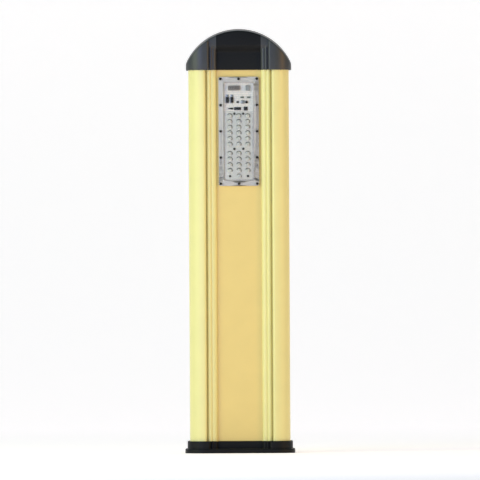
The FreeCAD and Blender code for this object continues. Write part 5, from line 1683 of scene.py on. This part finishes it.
@dataclass
class Driver(SubAssembly):
    """The LED driver's components on the board."""

    transistor: float = 7.0 * MM
    transistor_edge: float = 0.5 * MM
    tab: float = 5.8 * MM
    tab_share: float = 0.94
    tab_depth: float = 1.2 * MM
    tab_edge: float = 0.2 * MM
    leg_pitch: float = 2.2 * MM
    leg_drop: float = 0.9 * MM
    leg_size: Point = (0.8 * MM, 2.4 * MM)
    leg_depth: float = 0.7 * MM
    lead_edge: float = 0.1 * MM
    chip_depth: float = 2.1 * MM
    chip_edge: float = 0.3 * MM
    chip_row: float = 4.9 * MM
    pin_out: float = 0.6 * MM
    pin_length: float = 1.4 * MM
    pin_depth: float = 0.5 * MM
    pin_share: float = 0.42
    diode: float = 2.1 * MM
    diode_start: float = 6.0 * MM
    diode_lift: float = 0.05 * MM
    choke: float = 4.1 * MM
    choke_depth: float = 3.9 * MM
    choke_edge: float = 1.3 * MM
    can: float = 3.3 * MM
    varistor: float = 4.6 * MM
    varistor_half: float = 1.5 * MM
    varistor_sides: int = 28
    side_gap: float = 0.1 * MM
    wells: int = 5

    def __post_init__(self) -> None:
        """Reads the board's front face from the frame."""
        self.board_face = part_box("led_board")[0].y

    def on_board(self, solid: Solid, at: Point, size: Point, depth: float, edge: float) -> None:
        """A rounded block on the board, from its centre in X and Z.

        Args:
            solid: The mesh that it joins.
            at: Its centre.
            size: Its width and height.
            depth: How far it stands off the board.
            edge: The radius of its edges.
        """
        (x, z), (half_width, half_height) = at, (size[0] / 2, size[1] / 2)
        near = (x - half_width, self.board_face - depth, z - half_height)
        solid.block(near, (x + half_width, self.board_face, z + half_height), edge)

    def build_transistors(self) -> None:
        """Two power transistors with their cooling tabs and legs."""
        low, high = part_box("driver_transistors")
        depth, case = high.y - low.y, high.z - low.z - self.tab
        solid = Solid()
        for x in (low.x + self.transistor / 2, high.x - self.transistor / 2):
            solid.finish = 0
            middle, size = (x, low.z + case / 2), (self.transistor, case)
            self.on_board(solid, middle, size, depth, self.transistor_edge)
            solid.finish = 1
            middle, size = (x, high.z - self.tab / 2), (self.transistor * self.tab_share, self.tab)
            self.on_board(solid, middle, size, self.tab_depth, self.tab_edge)
            for leg in (-1, 0, 1):
                middle = (x + leg * self.leg_pitch, low.z - self.leg_drop)
                self.on_board(solid, middle, self.leg_size, self.leg_depth, self.lead_edge)
        finishes = [Finishes.EPOXY, Finishes.TIN]
        self.keep(solid, "power_transistors", finishes, ["driver_transistors"])

    def build_chips(self) -> None:
        """The driver's chips, each with its pins."""
        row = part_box("driver_chips")[0].z + self.chip_row
        solid = Solid()
        self.add_chip(solid, (-2.1 * MM, 826.8 * MM), (6.0 * MM, 3.4 * MM), 3)
        self.add_chip(solid, (-2.6 * MM, row), (16.0 * MM, 6.0 * MM), 9)
        self.add_chip(solid, (16.4 * MM, row), (9.4 * MM, 8.2 * MM), 4)
        self.add_diode(solid, (-18.8 * MM, row))
        self.keep(solid, "driver_circuits", [Finishes.EPOXY, Finishes.TIN], ["driver_chips"])

    def add_chip(self, solid: Solid, at: Point, size: Point, pins: int) -> None:
        """A chip with a row of pins along its upper and lower side.

        Args:
            solid: The mesh that it joins.
            at: Its centre in X and Z.
            size: The width and height of its case.
            pins: How many pins each row has.
        """
        solid.finish = 0
        self.on_board(solid, at, size, self.chip_depth, self.chip_edge)
        solid.finish = 1
        pitch = size[0] / pins
        pin = (pitch * self.pin_share, self.pin_length)
        for n in range(pins):
            x = at[0] + (n - (pins - 1) / 2) * pitch
            for side in (-1, 1):
                z = at[1] + side * (size[1] / 2 + self.pin_out)
                self.on_board(solid, (x, z), pin, self.pin_depth, self.lead_edge)

    def add_diode(self, solid: Solid, at: Point) -> None:
        """A round diode that lies on the board, tapered to one lead.

        Args:
            solid: The mesh that it joins.
            at: Its centre in X and Z.
        """
        solid.finish = 0
        profile = [
            (0.8 * MM, 0.0),
            (1.2 * MM, 3.5 * MM),
            (1.9 * MM, 7.0 * MM),
            (self.diode, 8.0 * MM),
            (self.diode, 11.2 * MM),
            (1.7 * MM, 11.8 * MM),
        ]
        y = self.board_face - self.diode - self.diode_lift
        solid.turned(profile, (at[0] - self.diode_start, y, at[1]), Facing.RIGHT, 20)

    def build_wound_parts(self) -> None:
        """A shielded choke and an upright capacitor."""
        low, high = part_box("driver_coil_and_capacitor")
        z = (low.z + high.z) / 2
        solid = Solid()
        x, width = low.x + self.choke + self.side_gap, 2 * self.choke
        self.on_board(solid, (x, z), (width, width), self.choke_depth, self.choke_edge)
        solid.finish = 1
        core = [(2.7, 3.6), (2.9, 4.0), (2.7, 4.2), (0.5, 4.25)]
        profile = [(radius * MM, lift * MM) for radius, lift in core]
        solid.turned(profile, (x, self.board_face, z), Facing.FRONT)
        solid.finish = 2
        case = [(1.0, 0.0), (1.0, 0.8), (0.92, 1.1), (1.0, 1.4), (1.0, 5.2), (0.9, 5.5)]
        rim = [(0.6, 5.5), (0.55, 5.4)]
        profile = [(self.can * share, lift * MM) for share, lift in case + rim]
        solid.turned(profile, (high.x - self.can, self.board_face, z), Facing.FRONT)
        self.keep(
            solid,
            "choke_and_capacitor",
            [Finishes.TIN, Finishes.GREY_PLASTIC, Finishes.EPOXY],
            ["driver_coil_and_capacitor"],
        )

    def build_varistors(self) -> None:
        """Two disc varistors that stand on edge."""
        low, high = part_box("driver_varistors")
        radius, depth = self.varistor, high.y - low.y
        angles = [2 * math.pi * n / self.varistor_sides for n in range(self.varistor_sides)]
        solid = Solid()
        for x in (low.x + radius + self.side_gap, high.x - radius - self.side_gap):
            rings = []
            for lift, scale in ((-1.0, 0.86), (-0.6, 0.97), (0.0, 1.0), (0.6, 0.97), (1.0, 0.86)):
                z = (low.z + high.z) / 2 + lift * self.varistor_half
                rings.append(
                    [
                        (
                            x + radius * scale * math.cos(t),
                            self.board_face - depth * scale * (0.5 + 0.49 * math.sin(t)),
                            z,
                        )
                        for t in angles
                    ]
                )
            solid.loft(rings)
        self.keep(solid, "disc_varistors", [Finishes.GREEN_EPOXY], ["driver_varistors"])

    def build_connector(self) -> None:
        """The supply connector with its wire wells, and the fuse's case."""
        low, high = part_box("board_connector")
        solid = Solid()
        solid.block(low, high, 0.7 * MM, 3)
        solid.finish = 1
        pitch, z = (high.x - low.x) / self.wells, (low.z + high.z) / 2
        well = [(1.5 * MM, 5.6 * MM), (1.5 * MM, 6.15 * MM), (1.2 * MM, 6.2 * MM)]
        for n in range(self.wells):
            at = (low.x + (n + 0.5) * pitch, self.board_face, z)
            solid.turned(well, at, Facing.FRONT, 20)
        self.keep(solid, "supply_connector", [Finishes.NYLON, Finishes.TIN], ["board_connector"])
        solid = Solid()
        solid.block(*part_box("board_fuse"), 0.8 * MM, 3)
        self.keep(solid, "fuse_case", [Finishes.GREY_PLASTIC], ["board_fuse"])

    def build(self) -> None:
        """Makes every component."""
        self.build_transistors()
        self.build_chips()
        self.build_wound_parts()
        self.build_varistors()
        self.build_connector()


# ------------------------------------------------------------------ equipment


@dataclass
class Equipment(SubAssembly):
    """Everything behind the service door that stays still."""

    def build(self) -> None:
        """Dresses the equipment."""
        for node, finish, edge, steps in (
            ("equipment_plate", Finishes.ZINC, 0.0004, 2),
            ("cross_bar_lower", Finishes.ZINC, 0.0004, 2),
            ("cross_bar_upper", Finishes.ZINC, 0.0004, 2),
            ("din_rail", Finishes.ZINC, 0.0004, 2),
            ("equipment_plate_screws", Finishes.STAINLESS, 0.0002, 2),
            ("cross_bar_screws", Finishes.STAINLESS, 0.0002, 2),
            ("breaker_case", Finishes.DEVICE, 0.0006, 3),
            ("surge_arrester", Finishes.DEVICE, 0.0006, 3),
            ("terminal_blocks", Finishes.GREY_PLASTIC, 0.0003, 2),
            ("control_box", Finishes.GREY_PLASTIC, 0.0006, 2),
            ("control_lid", Finishes.DEVICE, 0.0006, 2),
            ("earth_stud", Finishes.BRASS, 0.0003, 2),
            ("supply_cable_clamp", Finishes.EPOXY, 0.0006, 2),
            ("earth_wire", Finishes.EARTH, 0.0, 2),
            ("line_wire", Finishes.BROWN, 0.0, 2),
            ("neutral_wire", Finishes.BLUE, 0.0, 2),
        ):
            self.dress(node, finish, edge, steps)


@dataclass
class Toggle(SubAssembly):
    """The breaker's toggle."""

    body: str = "toggle"

    def build(self) -> None:
        """Dresses the toggle."""
        self.dress("breaker_toggle", Finishes.EPOXY, 0.0004)


# ------------------------------------------------------------------ studio


@dataclass(frozen=True)
class Lamp:
    """A soft rectangular lamp that points at a spot."""

    name: str
    place: tuple[float, float, float]
    target: tuple[float, float, float]
    size: tuple[float, float]
    power: float
    colour: Colour

    def hang(self) -> None:
        """Adds the lamp to the scene."""
        light = bpy.data.lights.new(self.name, "AREA")
        light.shape = "RECTANGLE"
        light.size, light.size_y = self.size
        light.energy = self.power
        light.color = self.colour
        lamp = bpy.data.objects.new(self.name, light)
        lamp.location = self.place
        aim = Vector(self.target) - Vector(self.place)
        lamp.rotation_mode = "QUATERNION"
        lamp.rotation_quaternion = aim.to_track_quat("-Z", "Y")
        bpy.context.scene.collection.objects.link(lamp)


@dataclass
class Studio:
    """Pale floor, soft lamps and the camera."""

    lens: float = 1000.0
    sensor: float = 36.0
    frame_height: float = 1.1328
    aim_x: float = 0.0016
    aim_z: float = 0.502
    roll: float = 0.28
    world_light: float = 0.383
    half: float = 9.0
    front: float = -9.0
    back: float = 4.0
    bend: float = 2.0
    top: float = 9.0
    bend_steps: int = 12
    paper_glow: float = 0.535
    far: float = 100.0

    def sweep(self) -> None:
        """The floor, curved up into a backdrop behind the column."""
        half, steps = self.half, self.bend_steps
        line = [(self.front, 0.0), (self.back, 0.0)]
        for n in range(1, steps + 1):
            angle = math.pi / 2 * n / steps
            along, up = self.bend * math.sin(angle), self.bend * (1 - math.cos(angle))
            line.append((self.back + along, up))
        line.append((self.back + self.bend, self.top))
        solid = Solid()
        rows = [solid.ring(((-half, y, z), (half, y, z))) for y, z in line]
        for first, second in zip(rows, rows[1:]):
            solid.face((first[0], first[1], second[1], second[0]))
        floor = solid.object("studio_floor")
        finish = Finish("studio_paper", "", (0.90, 0.90, 0.90), 0.9, mottle=0.004, mottle_size=1.5)
        paper = finish.material()
        shader = paper.node_tree.nodes["Principled BSDF"]
        shader.inputs["Specular IOR Level"].default_value = 0.0
        shader.inputs["Emission Color"].default_value = (1.0, 0.82, 0.815, 1.0)
        shader.inputs["Emission Strength"].default_value = self.paper_glow
        floor.data.materials.append(paper)

    def light(self) -> None:
        """Soft light from all round, and lamps from both sides and from the front left."""
        world = bpy.data.worlds.new("studio_air")
        world.use_nodes = True
        air = world.node_tree.nodes["Background"]
        air.inputs["Color"].default_value = (0.52, 0.92, 1.0, 1.0)
        air.inputs["Strength"].default_value = self.world_light
        bpy.context.scene.world = world
        middle = (0.0, 0.0, 0.5)
        for lamp in (
            Lamp("left_window", (-2.6, -1.9, 1.3), middle, (1.6, 2.6), 52.0, (0.89, 1.0, 0.61)),
            Lamp("right_window", (2.8, -1.7, 0.9), middle, (0.9, 2.4), 40.0, (1.0, 0.52, 0.08)),
            Lamp("left_front", (-1.5, -3.4, 0.9), middle, (0.8, 2.4), 43.0, (0.43, 0.48, 1.0)),
        ):
            lamp.hang()

    def camera(self) -> None:
        """A long lens, level with the column's middle, with the column's slight lean."""
        data = bpy.data.cameras.new("studio_camera")
        data.lens = self.lens
        data.sensor_width = self.sensor
        camera = bpy.data.objects.new("studio_camera", data)
        distance = self.frame_height * self.lens / self.sensor
        camera.location = (self.aim_x, -distance, self.aim_z)
        camera.rotation_euler = (math.radians(90.0), 0.0, 0.0)
        camera.rotation_euler.rotate_axis("Z", math.radians(-self.roll))
        data.clip_end = self.far
        bpy.context.scene.collection.objects.link(camera)
        bpy.context.scene.camera = camera

    def build(self) -> None:
        """Sets up the studio."""
        bpy.context.scene.view_settings.view_transform = "Standard"
        self.sweep()
        self.light()
        self.camera()


def main() -> None:
    """Builds every sub-assembly round the frame, and the studio."""
    logging.basicConfig(level=logging.INFO, format="%(name)s %(message)s")
    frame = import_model()
    nodes = frame["nodes"]
    for kind in (Foot, Profiles, Panels, Cap, Module, Door, Lock, Equipment, Toggle):
        kind(nodes).build()
    Studio().build()


if __name__ == "__main__":
    main()
